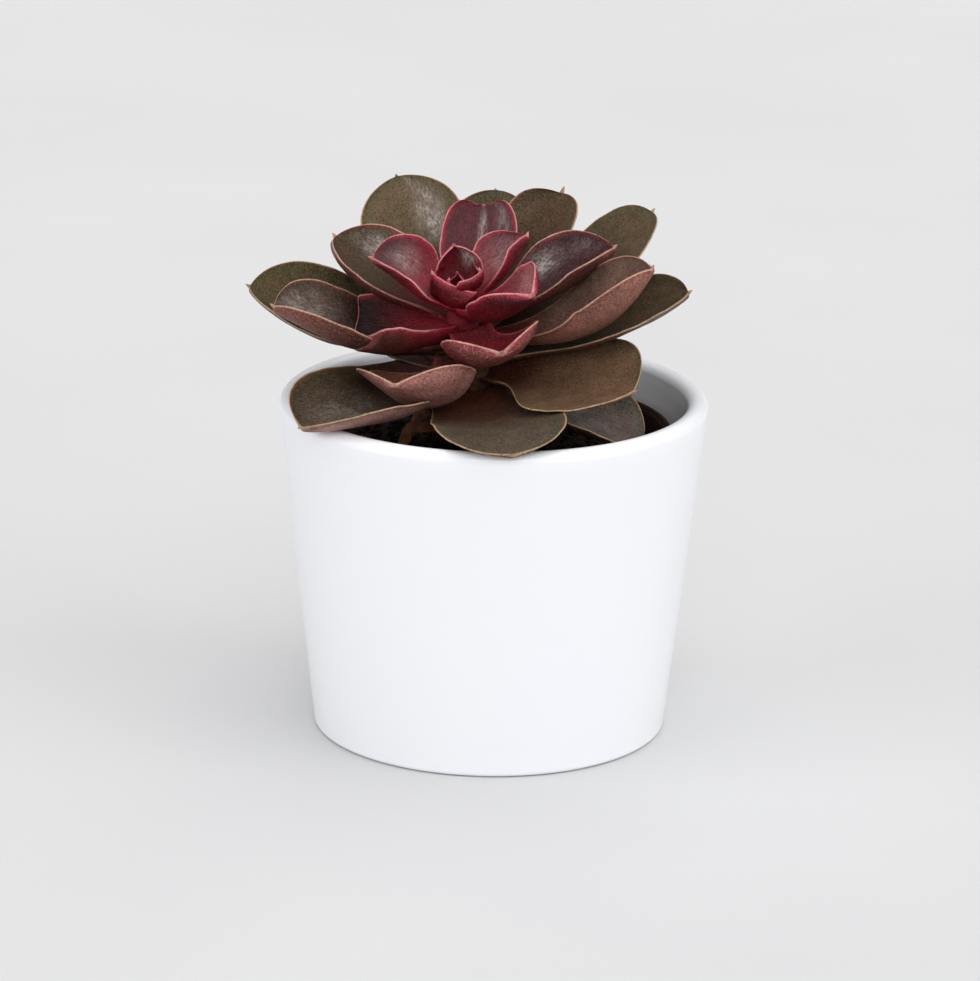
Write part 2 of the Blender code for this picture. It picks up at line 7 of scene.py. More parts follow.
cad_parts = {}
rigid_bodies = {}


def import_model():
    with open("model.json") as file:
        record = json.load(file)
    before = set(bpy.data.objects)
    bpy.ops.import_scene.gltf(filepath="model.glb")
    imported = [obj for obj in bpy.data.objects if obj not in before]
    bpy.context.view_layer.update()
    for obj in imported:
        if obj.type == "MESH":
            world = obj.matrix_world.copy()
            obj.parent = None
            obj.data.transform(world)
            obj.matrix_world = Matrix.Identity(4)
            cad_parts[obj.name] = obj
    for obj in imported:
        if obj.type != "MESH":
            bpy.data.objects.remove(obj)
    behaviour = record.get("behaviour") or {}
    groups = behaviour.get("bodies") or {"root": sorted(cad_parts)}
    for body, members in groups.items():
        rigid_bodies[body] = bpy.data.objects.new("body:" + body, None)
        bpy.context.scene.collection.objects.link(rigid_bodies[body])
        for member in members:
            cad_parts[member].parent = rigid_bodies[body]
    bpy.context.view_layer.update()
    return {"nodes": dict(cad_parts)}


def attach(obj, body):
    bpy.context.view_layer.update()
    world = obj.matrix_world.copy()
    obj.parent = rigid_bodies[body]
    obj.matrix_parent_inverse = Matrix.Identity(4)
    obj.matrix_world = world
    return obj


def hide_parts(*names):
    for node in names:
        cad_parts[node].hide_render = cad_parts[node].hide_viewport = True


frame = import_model()
# Shapes are worked out in mm and put into the meshes in metres.
mm = 0.001
print("stage: frame loaded")


# Display colour 0 to 255 to the linear colour that shaders use.
def paint(red, green, blue):
    c = np.array([red, green, blue], float) / 255
    return tuple(np.where(c <= 0.04045, c / 12.92, ((c + 0.055) / 1.055) ** 2.4))


# 0 below low, 1 above high, an S between them.
def ease(value, low, high):
    t = np.clip((value - low) / (high - low), 0, 1)
    return t * t * (3 - 2 * t)


# A soft random wave: a sum of sines with seeded pitches and phases, about -1 to 1.
def wave(value, seed, pitch, terms=4):
    rng = np.random.default_rng(seed)
    total = np.zeros_like(value, dtype=float)
    for k in range(terms):
        size = rng.uniform(0.6, 1.0) / (1 + 0.6 * k)
        ownPitch = pitch * (1 + k * rng.uniform(0.6, 1.1))
        total += size * np.sin(value * ownPitch + rng.uniform(0, math.tau))
    return total / 2


# The cubic curve of four control points: their sum, weighted by the cubes of t and 1 - t.
def cubicCurve(t, a, b, c, d):
    s = 1 - t
    return s ** 3 * a + 3 * s ** 2 * t * b + 3 * s * t ** 2 * c + t ** 3 * d


# Puts points in mm and faces into a mesh object at the origin, with its attributes.
def addPiece(name, points, faces, material, attributes=None):
    mesh = bpy.data.meshes.new(name)
    mesh.from_pydata((np.asarray(points) * mm).tolist(), [], faces)
    for label, values in (attributes or {}).items():
        kind, key = ("FLOAT", "value") if values.ndim == 1 else ("FLOAT_VECTOR", "vector")
        layer = mesh.attributes.new(label, kind, "POINT")
        layer.data.foreach_set(key, values.astype(np.float32).ravel())
    mesh.shade_smooth()
    mesh.materials.append(material)
    piece = bpy.data.objects.new(name, mesh)
    bpy.context.scene.collection.objects.link(piece)
    return piece


# Faces of a grid of rows and ring points, closed round each row, with a pole at each end.
def ringFaces(rows, ring):
    grid = np.arange(rows * ring).reshape(rows, ring)
    beside = np.roll(grid, -1, axis=1)
    quads = np.stack([grid[:-1], beside[:-1], beside[1:], grid[1:]], axis=-1).reshape(-1, 4)
    start = rows * ring
    first = np.stack([np.full(ring, start), beside[0], grid[0]], axis=-1)
    last = np.stack([np.full(ring, start + 1), grid[-1], beside[-1]], axis=-1)
    return quads.tolist() + first.tolist() + last.tolist()


# The same faces with their other side outwards.
def turnedOver(faces):
    return [face[::-1] for face in faces]


# A procedural material: each call adds one node and gives back its output.
class Shader:
    def __init__(self, name, colour, roughness):
        self.material = bpy.data.materials.new(name)
        self.material.use_nodes = True
        self.nodes = self.material.node_tree.nodes
        self.links = self.material.node_tree.links
        self.bsdf = self.nodes["Principled BSDF"]
        self.bsdf.inputs["Base Color"].default_value = (*colour, 1)
        self.bsdf.inputs["Roughness"].default_value = roughness

    def put(self, socket, value):
        if isinstance(value, bpy.types.NodeSocket):
            self.links.new(value, socket)
        elif isinstance(value, (tuple, list)) and len(value) == 3 and socket.type == "RGBA":
            socket.default_value = (*value, 1)
        else:
            socket.default_value = value

    def node(self, kind, output=0, settings=None, **inputs):
        node = self.nodes.new(kind)
        for key, value in (settings or {}).items():
            setattr(node, key, value)
        for key, value in inputs.items():
            self.put(node.inputs[key.replace("_", " ")], value)
        return node.outputs[output]

    def attribute(self, name, output="Fac"):
        return self.node("ShaderNodeAttribute", output, {"attribute_name": name})

    def place(self, source, scale):
        return self.node("ShaderNodeMapping", 0, None, Vector=source, Scale=scale)

    def objectPlace(self):
        return self.node("ShaderNodeTexCoord", "Object")

    def noise(self, vector, scale, detail=4, roughness=0.55):
        return self.node("ShaderNodeTexNoise", "Fac", None, Vector=vector, Scale=scale,
                         Detail=detail, Roughness=roughness)

    def spread(self, value, low, high, to=(0, 1)):
        node = self.nodes.new("ShaderNodeMapRange")
        self.put(node.inputs["Value"], value)
        node.inputs["From Min"].default_value = low
        node.inputs["From Max"].default_value = high
        node.inputs["To Min"].default_value = to[0]
        node.inputs["To Max"].default_value = to[1]
        return node.outputs["Result"]

    def math(self, operation, a, b):
        node = self.nodes.new("ShaderNodeMath")
        node.operation = operation
        self.put(node.inputs[0], a)
        self.put(node.inputs[1], b)
        return node.outputs[0]

    def mix(self, factor, a, b, blend="MIX"):
        node = self.nodes.new("ShaderNodeMix")
        node.data_type = "RGBA"
        node.blend_type = blend
        self.put(node.inputs["Factor"], factor)
        self.put(node.inputs["A"], a)
        self.put(node.inputs["B"], b)
        return node.outputs["Result"]

    def bump(self, height, strength, distance, normal=None):
        node = self.nodes.new("ShaderNodeBump")
        node.inputs["Strength"].default_value = strength
        node.inputs["Distance"].default_value = distance
        self.put(node.inputs["Height"], height)
        if normal is not None:
            self.put(node.inputs["Normal"], normal)
        return node.outputs["Normal"]


# The skin of the leaves. A scale is the noise per metre. A stretch is the noise per mm across the
# blade and along it, so that its marks run along the leaf. The pale grey colour is that of the
# painted highlights, a frosty waxy sheen.
leafLook = dict(
    roughness=0.42, specular=0.16, mottle=0.34, mottleScale=140, sheenScale=420,
    frostyHighlightColour=paint(206, 196, 190), creaseStretch=(1.7, 0.6, 1.0), driftStretch=(0.34, 0.16, 1.0),
    speckle=0.62, speckColour=paint(226, 196, 176), pits=0.55, grainScale=1500, grainDepth=0.0004,
    wrinkleStretch=(0.9, 0.32, 1.0), wrinkleDepth=0.0014,
)
youngLook = {**leafLook, "roughness": 0.34, "specular": 0.3, "speckle": 0.18}


# Leaf skin. The tint attribute is darkened by mottle where a cloudy noise of 7 mm is low. It is
# lightened in specks where a 0.7 mm noise is high, more so on the underside, and darkened in pits
# where the same noise is low. Then a painted highlight: it is mixed with a pale waxy sheen colour
# by the highlight attribute times a slow noise of drifts times a noise of creases, both drawn out
# along the blade. The roughness wanders by a noise of 2 mm. Bumps: wrinkles drawn out along the
# blade, then the fine grain.
def leafMaterial(name, look):
    s = Shader(name, (0.1, 0.06, 0.05), look["roughness"])
    tint = s.attribute("tint", "Color")
    blade = s.attribute("bladePlace", "Vector")
    under = s.attribute("under")
    frostyHighlight = s.attribute("frostyHighlight")
    world = s.objectPlace()

    patches = s.spread(s.noise(world, look["mottleScale"], 5, 0.6), 0.32, 0.68)
    colour = s.mix(patches, s.mix(look["mottle"], tint, (0, 0, 0)), tint)
    grain = s.noise(world, look["grainScale"], 3, 0.6)
    specks = s.math("MULTIPLY", s.spread(grain, 0.53, 0.70), s.spread(under, 0, 1, (0.4, 1)))
    speckled = s.mix(0.4, colour, look["speckColour"])
    colour = s.mix(s.math("MULTIPLY", specks, look["speckle"]), colour, speckled)
    colour = s.mix(s.spread(grain, 0.48, 0.32, (0, look["pits"])), colour, (0, 0, 0))
    # Painted highlight: frosty patches of whitish waxy sheen where the light glints on the leaf.
    creases = s.spread(s.noise(s.place(blade, look["creaseStretch"]), 1.0, 5, 0.7), 0.40, 0.60, (0.15, 1.0))
    drifts = s.spread(s.noise(s.place(blade, look["driftStretch"]), 1.0, 3, 0.5), 0.34, 0.58, (0.35, 1))
    frostyHighlightShare = s.math("MULTIPLY", s.math("MULTIPLY", frostyHighlight, drifts), creases)
    colour = s.mix(frostyHighlightShare, colour, look["frostyHighlightColour"])
    s.put(s.bsdf.inputs["Base Color"], colour)

    sheen = s.noise(world, look["sheenScale"], 3)
    rough = s.spread(sheen, 0.3, 0.7, (look["roughness"] - 0.06, look["roughness"] + 0.1))
    s.put(s.bsdf.inputs["Roughness"], rough)
    s.bsdf.inputs["Specular IOR Level"].default_value = look["specular"]
    wrinkles = s.noise(s.place(blade, look["wrinkleStretch"]), 1.0, 6, 0.68)
    normal = s.bump(wrinkles, 0.6, look["wrinkleDepth"])
    normal = s.bump(grain, 0.55, look["grainDepth"], normal)
    s.put(s.bsdf.inputs["Normal"], normal)
    return s.material


outerLeaf = leafMaterial("outerLeafSkin", leafLook)
innerLeaf = leafMaterial("innerLeafSkin", youngLook)


# Where the rosette sits, how the stem narrows, and the leaves' margins, points and roots, in mm
# and degrees. Leaves below youngAge have the glossier skin.
rosette = dict(
    crown=(-12, -8, 151), leanLeft=8, leanForward=12,
    stemRadius=6.5, stemTipRadius=2.4, stemTaper=14, stemTaperEasing=0.7, stemLength=78,
    marginThickness=0.48, spineLength=1.6, spineRadius=0.7,
    rootDepth=3, rootGap=0.35, sunkRoot=1.2, rootOverlap=2.5, youngAge=1.6,
)

# The small unevenness of every blade: how strong it is, and its pitch per mm. Ripples turn the
# margins, nibbles move them in and out, and the swell lifts the face.
bladeDetail = dict(
    ripple=0.05, ripplePitch=0.26, nibble=0.06, nibblePitch=0.9, swell=0.16, swellPitch=1.4,
    stationCrowding=1.55, openShare=0.6, rollEasing=1.3, notchFrom=0.7, coreEasing=2.2,
    coreAlong=(0, 0.15, 0.6, 1), coreShare=(0.85, 1, 0.9, 0.5),
)

# Colours by age, from the heart (0) to the oldest leaves (4), as display colours.
ageColours = dict(
    age=(0, 1, 2, 3, 4),
    face=((112, 34, 50), (88, 34, 42), (74, 46, 42), (58, 50, 34), (60, 46, 30)),
    under=((92, 8, 20), (92, 18, 28), (112, 66, 60), (110, 74, 62), (104, 74, 56)),
    root=((112, 14, 28), (142, 24, 44), (116, 22, 34), (76, 34, 24), (84, 58, 40)),
    band=((196, 40, 72), (196, 38, 70), (150, 52, 58), (112, 76, 52), (112, 80, 52)),
    rim=((240, 160, 162), (238, 166, 164), (226, 186, 166), (204, 172, 138), (212, 180, 142)),
)
# How the colours lie on a blade: distances in mm from the margin, and strengths.
tintLook = dict(
    bandWidth=1.3, bandStrength=0.75, rimWidth=0.34, rimStrength=0.8, rimFrom=(2, 10),
    centreFrom=(0.5, 6.5), centreShift=(0.22, -0.06, 0.02),
)

# What a leaf has unless it says otherwise, in mm and degrees. drop is how far below the crown it
# leaves the stem, and azimuth its direction, anticlockwise from the right seen from above. reach
# and height place its tip from the stem's axis and the crown. rise and tipAngle are the midrib's
# slopes, and handle how far each carries. width, base at the root, the shares of the length where
# it is widest and its neck ends, and the powers blunt and squareness make the outline. cup, fold
# and roll are how far the sides curl up, set off from the midrib and tilt. crease is the fold's
# width as a share, and baseLift the share of the curl at the root. notch is how far the shoulders
# stand past the tip, and notchWidth the gap's width. A sunk leaf starts inside the stem. A pair
# is one value for each side, the anticlockwise one first. age, 0 at the heart to 4, sets the
# colours. The root's colour fades out between two distances from the root: it is red on young
# leaves, and a painted shade on some old ones. A list of painted highlights, frosty patches of
# whitish waxy sheen, gives their shares along and across, two sizes and strength.
leafDefaults = dict(
    rise=20, tipAngle=10, handle=0.36, width=32, widest=0.62, base=7.5, neck=0, blunt=1.7,
    squareness=2.4, cup=(40, 40), fold=(6, 6), crease=0.14, baseLift=0.35, roll=0, notch=0,
    notchWidth=4, thick=3.0, spine=1.0, sunk=False, age=3, rootRedAndShadeTo=(8, 26), frostyHighlight=(),
)

# Each leaf's own values. face, under and root are display colours in place of those of its age.
# They are partly the leaf's own colour and partly painted light and shade: each is set lighter or
# darker by how much light falls on that leaf among the others.
leafShapes = dict(
    leaf_left_inner=dict(
        drop=0.8, azimuth=176, reach=26.6, height=16.5, rise=32, tipAngle=22, width=33, widest=0.42,
        base=15, cup=(36, 50), age=1, face=(84, 42, 46),
        frostyHighlight=((0.62, -0.35, 0.18, 0.3, 0.55), (0.3, 0.5, 0.2, 0.5, 0.2)),
    ),
    leaf_front_right_inner=dict(
        drop=4.2, azimuth=318, reach=34, height=9, rise=2, tipAngle=40, width=33, widest=0.6, base=14,
        blunt=2.5, squareness=4, cup=(55, 44), fold=(12, 12), roll=1, baseLift=0.9, age=0.6,
        rootRedAndShadeTo=(12, 36), face=(186, 96, 100), under=(63, 4, 6), frostyHighlight=((0.75, 0.6, 0.3, 0.6, 0.4),),
    ),
    leaf_back_right_inner=dict(
        drop=3, azimuth=39, reach=30.4, height=9.8, rise=36, tipAngle=40, width=25, cup=(55, 55),
        fold=(15, 15), roll=-10, age=0.8, face=(112, 48, 56), frostyHighlight=((0.65, 0.0, 0.3, 0.8, 0.35),),
    ),
    leaf_back_inner=dict(
        drop=8, azimuth=74.5, reach=37, height=14.6, rise=25, tipAngle=62, width=27.5, base=10,
        blunt=2.4, squareness=4, cup=(35, 14), fold=(8, 8), roll=-3, notch=4.2, notchWidth=6,
        spine=0.45, age=1, face=(96, 41, 48),
        frostyHighlight=((0.8, -0.6, 0.2, 0.2, 0.6), (0.75, 0.0, 0.3, 0.09, 0.8)),
    ),
    leaf_left_back=dict(
        drop=7.4, azimuth=147, reach=48, height=14.0, rise=22, tipAngle=40, width=33, widest=0.6,
        cup=(43, 37), fold=(8, 6), thick=5, roll=-3, age=2, face=(78, 64, 42),
        frostyHighlight=((0.72, -0.5, 0.15, 0.26, 0.8),),
    ),
    leaf_front_left_inner=dict(
        drop=8.5, azimuth=198, reach=37.4, height=-6.6, rise=2, tipAngle=14, width=36, widest=0.72,
        base=15, blunt=3.2, squareness=5, cup=(42, 44), fold=(16, 14), thick=6, notch=-4, notchWidth=8,
        age=1.3, rootRedAndShadeTo=(5, 24), face=(39, 13, 12), under=(92, 44, 38), root=(130, 30, 42),
        frostyHighlight=((0.96, 0.55, 0.1, 0.4, 0.45),),
    ),
    leaf_right_inner=dict(
        drop=10.3, azimuth=20, reach=55.4, height=2.2, rise=10, tipAngle=22, width=34.5, cup=(49, 50),
        fold=(8, 8), age=2, face=(65, 30, 33),
        frostyHighlight=((0.5, 0.58, 0.15, 0.24, 1.0), (0.86, 0.6, 0.1, 0.25, 0.2)),
    ),
    leaf_front_middle=dict(
        drop=11.5, azimuth=292, reach=37, height=-5, rise=-30, tipAngle=44, width=38, base=15,
        blunt=2.4, squareness=5, cup=(50, 68), fold=(0, 0), age=1.7, rootRedAndShadeTo=(10, 34),
        under=(128, 69, 63),
    ),
    leaf_right_middle=dict(
        drop=15, azimuth=349.5, reach=66, height=8.2, rise=-3, tipAngle=54, width=38, cup=(20, 34),
        fold=(25, 30), roll=6, handle=0.45, age=2.4, face=(124, 99, 84), under=(155, 103, 89),
    ),
    # Its dark root colour, fading out from 22 to 50 mm along, is painted shade.
    leaf_left_middle=dict(
        drop=15.5, azimuth=189, reach=61, height=8.5, rise=-4, tipAngle=38, width=35, base=(7.5, 26),
        blunt=2, squareness=3, cup=(52, 40), fold=(12, 12), roll=-5, age=2.5, face=(81, 66, 52),
        under=(130, 78, 67), rootRedAndShadeTo=(22, 50), root=(54, 27, 20), frostyHighlight=((0.82, -0.45, 0.15, 0.3, 0.5),),
    ),
    leaf_back_right=dict(
        drop=16, azimuth=52.4, reach=58.6, height=11, rise=4, tipAngle=40, width=(33, 26), blunt=2.4,
        squareness=4.6, cup=(50, 4), fold=(4, 4), roll=-9, spine=1.6, age=2.8, face=(90, 73, 51),
    ),
    leaf_back_left_tall=dict(
        drop=17.5, azimuth=112, reach=50, height=24, tipAngle=62, width=36, widest=0.7, cup=(26, 10),
        fold=(4, 4), roll=-12, spine=0.5, face=(110, 98, 70), frostyHighlight=((0.74, -0.42, 0.2, 0.24, 0.9),),
        rootRedAndShadeTo=(14, 42), root=(70, 56, 42),
    ),
    leaf_right_back=dict(
        drop=19.9, azimuth=30.9, reach=76.4, height=3.9, rise=7, tipAngle=30, width=(35, 45),
        blunt=(2.5, 1.9), squareness=(3.6, 2.1), cup=(14, 16), fold=(4, 4), roll=-5, face=(97, 84, 58),
    ),
    leaf_left_outer=dict(
        drop=19.8, azimuth=171, reach=70.5, height=6.5, rise=2, tipAngle=30, width=42, base=(5, 18),
        neck=(0.2, 0), cup=(30, 36), fold=(4, 4), roll=-4, face=(82, 73, 42),
    ),
    leaf_back_middle=dict(
        drop=22.8, azimuth=77, reach=58, height=10, rise=0, tipAngle=38, width=35, cup=(30, 0),
        fold=(4, 4), spine=0.4, face=(90, 80, 53),
    ),
    leaf_right_outer=dict(
        drop=24, azimuth=0.6, reach=75.5, height=-8.4, rise=5, tipAngle=21, width=41, widest=0.66,
        blunt=1.9, cup=(18, 22), fold=(4, 4), roll=-2, neck=0.12, face=(76, 64, 40),
    ),
    leaf_front_left_middle=dict(
        drop=22.5, azimuth=239, reach=43, height=-11, rise=-42, tipAngle=58, width=46, widest=0.52,
        base=14, blunt=2.5, squareness=4, cup=(44, -6), fold=(8, 31), roll=9, handle=0.42, baseLift=0.9,
        age=2.3, spine=0.3, rootRedAndShadeTo=(0, 14), root=(92, 40, 30), face=(134, 85, 67), under=(169, 115, 106),
    ),
    # Its dark root colour is a painted shadow of the leaf above it.
    leaf_front_right_low=dict(
        drop=29, azimuth=327, reach=65.5, height=-23.5, rise=0, width=45, widest=0.57, base=(26, 6),
        neck=(0, 0.1), blunt=2.0, squareness=3.2, cup=(16, 14), fold=(14, 4), roll=2, baseLift=1, age=4,
        face=(117, 95, 70), rootRedAndShadeTo=(8, 28), root=(78, 38, 26),
    ),
    leaf_back_left_low=dict(
        drop=29.5, azimuth=140, reach=46, height=-15.5, rise=5, tipAngle=35, width=28, cup=(30, 30),
        fold=(4, 4), age=4,
    ),
    leaf_front_left_low=dict(
        drop=29.5, azimuth=220, reach=70, height=-18.8, rise=-2, tipAngle=5, width=(50, 40),
        base=(9, 42), baseLift=0.5, blunt=2.2, squareness=2.8, cup=(47, 20), fold=(8, 12), roll=-9,
        age=3.4, rootRedAndShadeTo=(8, 38), root=(92, 46, 32), face=(65, 53, 34), under=(172, 126, 116),
        frostyHighlight=((0.7, 0.1, 0.3, 0.6, 0.25),),
    ),
    leaf_back_right_low=dict(
        drop=29.5, azimuth=54, reach=54, height=-19, rise=2, tipAngle=25, width=28, cup=(30, 30),
        fold=(4, 4), age=4,
    ),
    leaf_back_low=dict(
        drop=33.2, azimuth=102, reach=54, height=-17, rise=2, tipAngle=28, width=30, cup=(30, 30),
        fold=(4, 4), age=4,
    ),
    leaf_front_low=dict(
        drop=33, azimuth=282.5, reach=73.7, height=-22.6, rise=-4, tipAngle=-3, width=43, widest=0.6,
        base=(20, 32), blunt=2.9, squareness=2.8, cup=(12, 14), fold=(2, 3), roll=-4, age=3.6,
        rootRedAndShadeTo=(10, 44), root=(92, 52, 38), face=(88, 80, 64),
    ),
    leaf_right_lowest=dict(
        drop=37, azimuth=331, reach=61.5, height=-48.3, rise=-8, tipAngle=-32, width=41, widest=0.5,
        cup=(30, 40), fold=(4, 4), roll=-6, age=3.8, face=(110, 101, 90),
        frostyHighlight=((0.5, -0.1, 0.25, 0.5, 0.65),),
    ),
    leaf_back_left_narrow=dict(
        drop=37, azimuth=128, reach=41, height=-37, rise=0, width=15, base=5, cup=(30, 30), fold=(4, 4),
        age=3.8,
    ),
    heart_back=dict(
        drop=0, azimuth=84, reach=4.5, height=16, rise=55, tipAngle=112, width=17.5, widest=0.52,
        base=10, blunt=2.0, squareness=2.2, cup=(50, 12), fold=(20, 8), thick=2, handle=0.4, age=0,
        sunk=True, face=(84, 23, 32), frostyHighlight=((0.75, -0.55, 0.2, 0.3, 0.8),),
    ),
    heart_front=dict(
        drop=2, azimuth=222, reach=9.4, height=12.2, rise=-5, tipAngle=80, width=25, widest=0.3,
        base=20, blunt=0.85, squareness=1.1, cup=(70, 45), fold=(5, 5), baseLift=0.8, thick=2, age=0,
        sunk=True, under=(26, 1, 2),
    ),
    heart_right=dict(
        drop=0, azimuth=338, reach=9, height=9.5, rise=50, tipAngle=100, width=17, widest=0.5, base=5,
        blunt=1.3, squareness=2, cup=(60, 60), fold=(10, 10), thick=1.6, age=0, sunk=True,
    ),
    heart_left=dict(
        drop=0, azimuth=205, reach=3, height=6, rise=60, tipAngle=110, width=9, widest=0.5, base=4,
        blunt=1.3, squareness=2, cup=(60, 60), fold=(10, 10), thick=1.4, age=0, sunk=True,
    ),
    heart_middle=dict(
        drop=-1, azimuth=70, reach=1.5, height=7, rise=75, tipAngle=110, width=8, widest=0.5, base=4,
        blunt=1.3, squareness=2, cup=(60, 60), fold=(10, 10), thick=1.2, age=0, sunk=True,
    ),
)


# Rosette frame to world, in mm: Z up the leaning stem, X to the right, Y to the back.
def crownAxes():
    left = math.sin(math.radians(rosette["leanLeft"]))
    forward = math.sin(math.radians(rosette["leanForward"]))
    up = np.array([-left, -forward, math.sqrt(1 - left ** 2 - forward ** 2)])
    right = np.array([1.0, 0, 0]) - up * up[0]
    right /= np.linalg.norm(right)
    return np.stack([right, np.cross(up, right), up])


# Points of the rosette frame in the world.
def toWorld(points):
    return points @ crownAxes() + np.array(rosette["crown"], float)


# The stem's radius at a drop below the crown: from the tip's to the stem's over the taper, by a
# power of the share of it.
def stemRadiusAt(drop):
    share = np.clip(np.asarray(drop, float) / rosette["stemTaper"], 0, 1) ** rosette["stemTaperEasing"]
    return rosette["stemTipRadius"] + (rosette["stemRadius"] - rosette["stemTipRadius"]) * share


# A leaf's value for one side of its midrib.
def sideOf(leaf, key, side):
    value = leaf[key]
    return value[side] if isinstance(value, tuple) else value


# The midrib: a cubic curve in the leaf's own plane that leaves the stem at the angle rise and
# ends at reach and height at tipAngle. Returns (radius, height) points.
def midribOf(leaf):
    rise = math.radians(leaf["rise"])
    tip = math.radians(leaf["tipAngle"])
    radius = rosette["sunkRoot"]
    if not leaf["sunk"]:
        clear = rosette["rootGap"] + max(0, -math.sin(rise)) * leaf["thick"]
        radius = float(stemRadiusAt(leaf["drop"] + rosette["rootDepth"] * math.cos(rise) ** 4)) + clear
    start = np.array([radius, -leaf["drop"]])
    end = np.array([leaf["reach"], leaf["height"]], float)
    pull = leaf["handle"] * np.linalg.norm(end - start)
    leave = start + pull * np.array([math.cos(rise), math.sin(rise)])
    arrive = end - pull * np.array([math.cos(tip), math.sin(tip)])
    return cubicCurve(np.linspace(0, 1, 400)[:, None], start, leave, arrive, end)


# Half the blade's width at each share of its length, on its first or second side: a cosine from
# the base to the widest place, then a superellipse to the tip.
def halfWidthOf(along, leaf, side):
    width, base, neck, squareness, blunt = [
        sideOf(leaf, key, side) for key in ("width", "base", "neck", "squareness", "blunt")]
    narrow = base / width
    grown = np.clip((along - neck) / (leaf["widest"] - neck), 0, 1)
    growing = narrow + (1 - narrow) * (0.5 - 0.5 * np.cos(np.pi * grown))
    past = np.clip((along - leaf["widest"]) / (1 - leaf["widest"]), 0, 1)
    closing = np.clip(1 - past ** squareness, 0, 1) ** (1 / blunt)
    return np.where(along < leaf["widest"], growing, closing) * width / 2


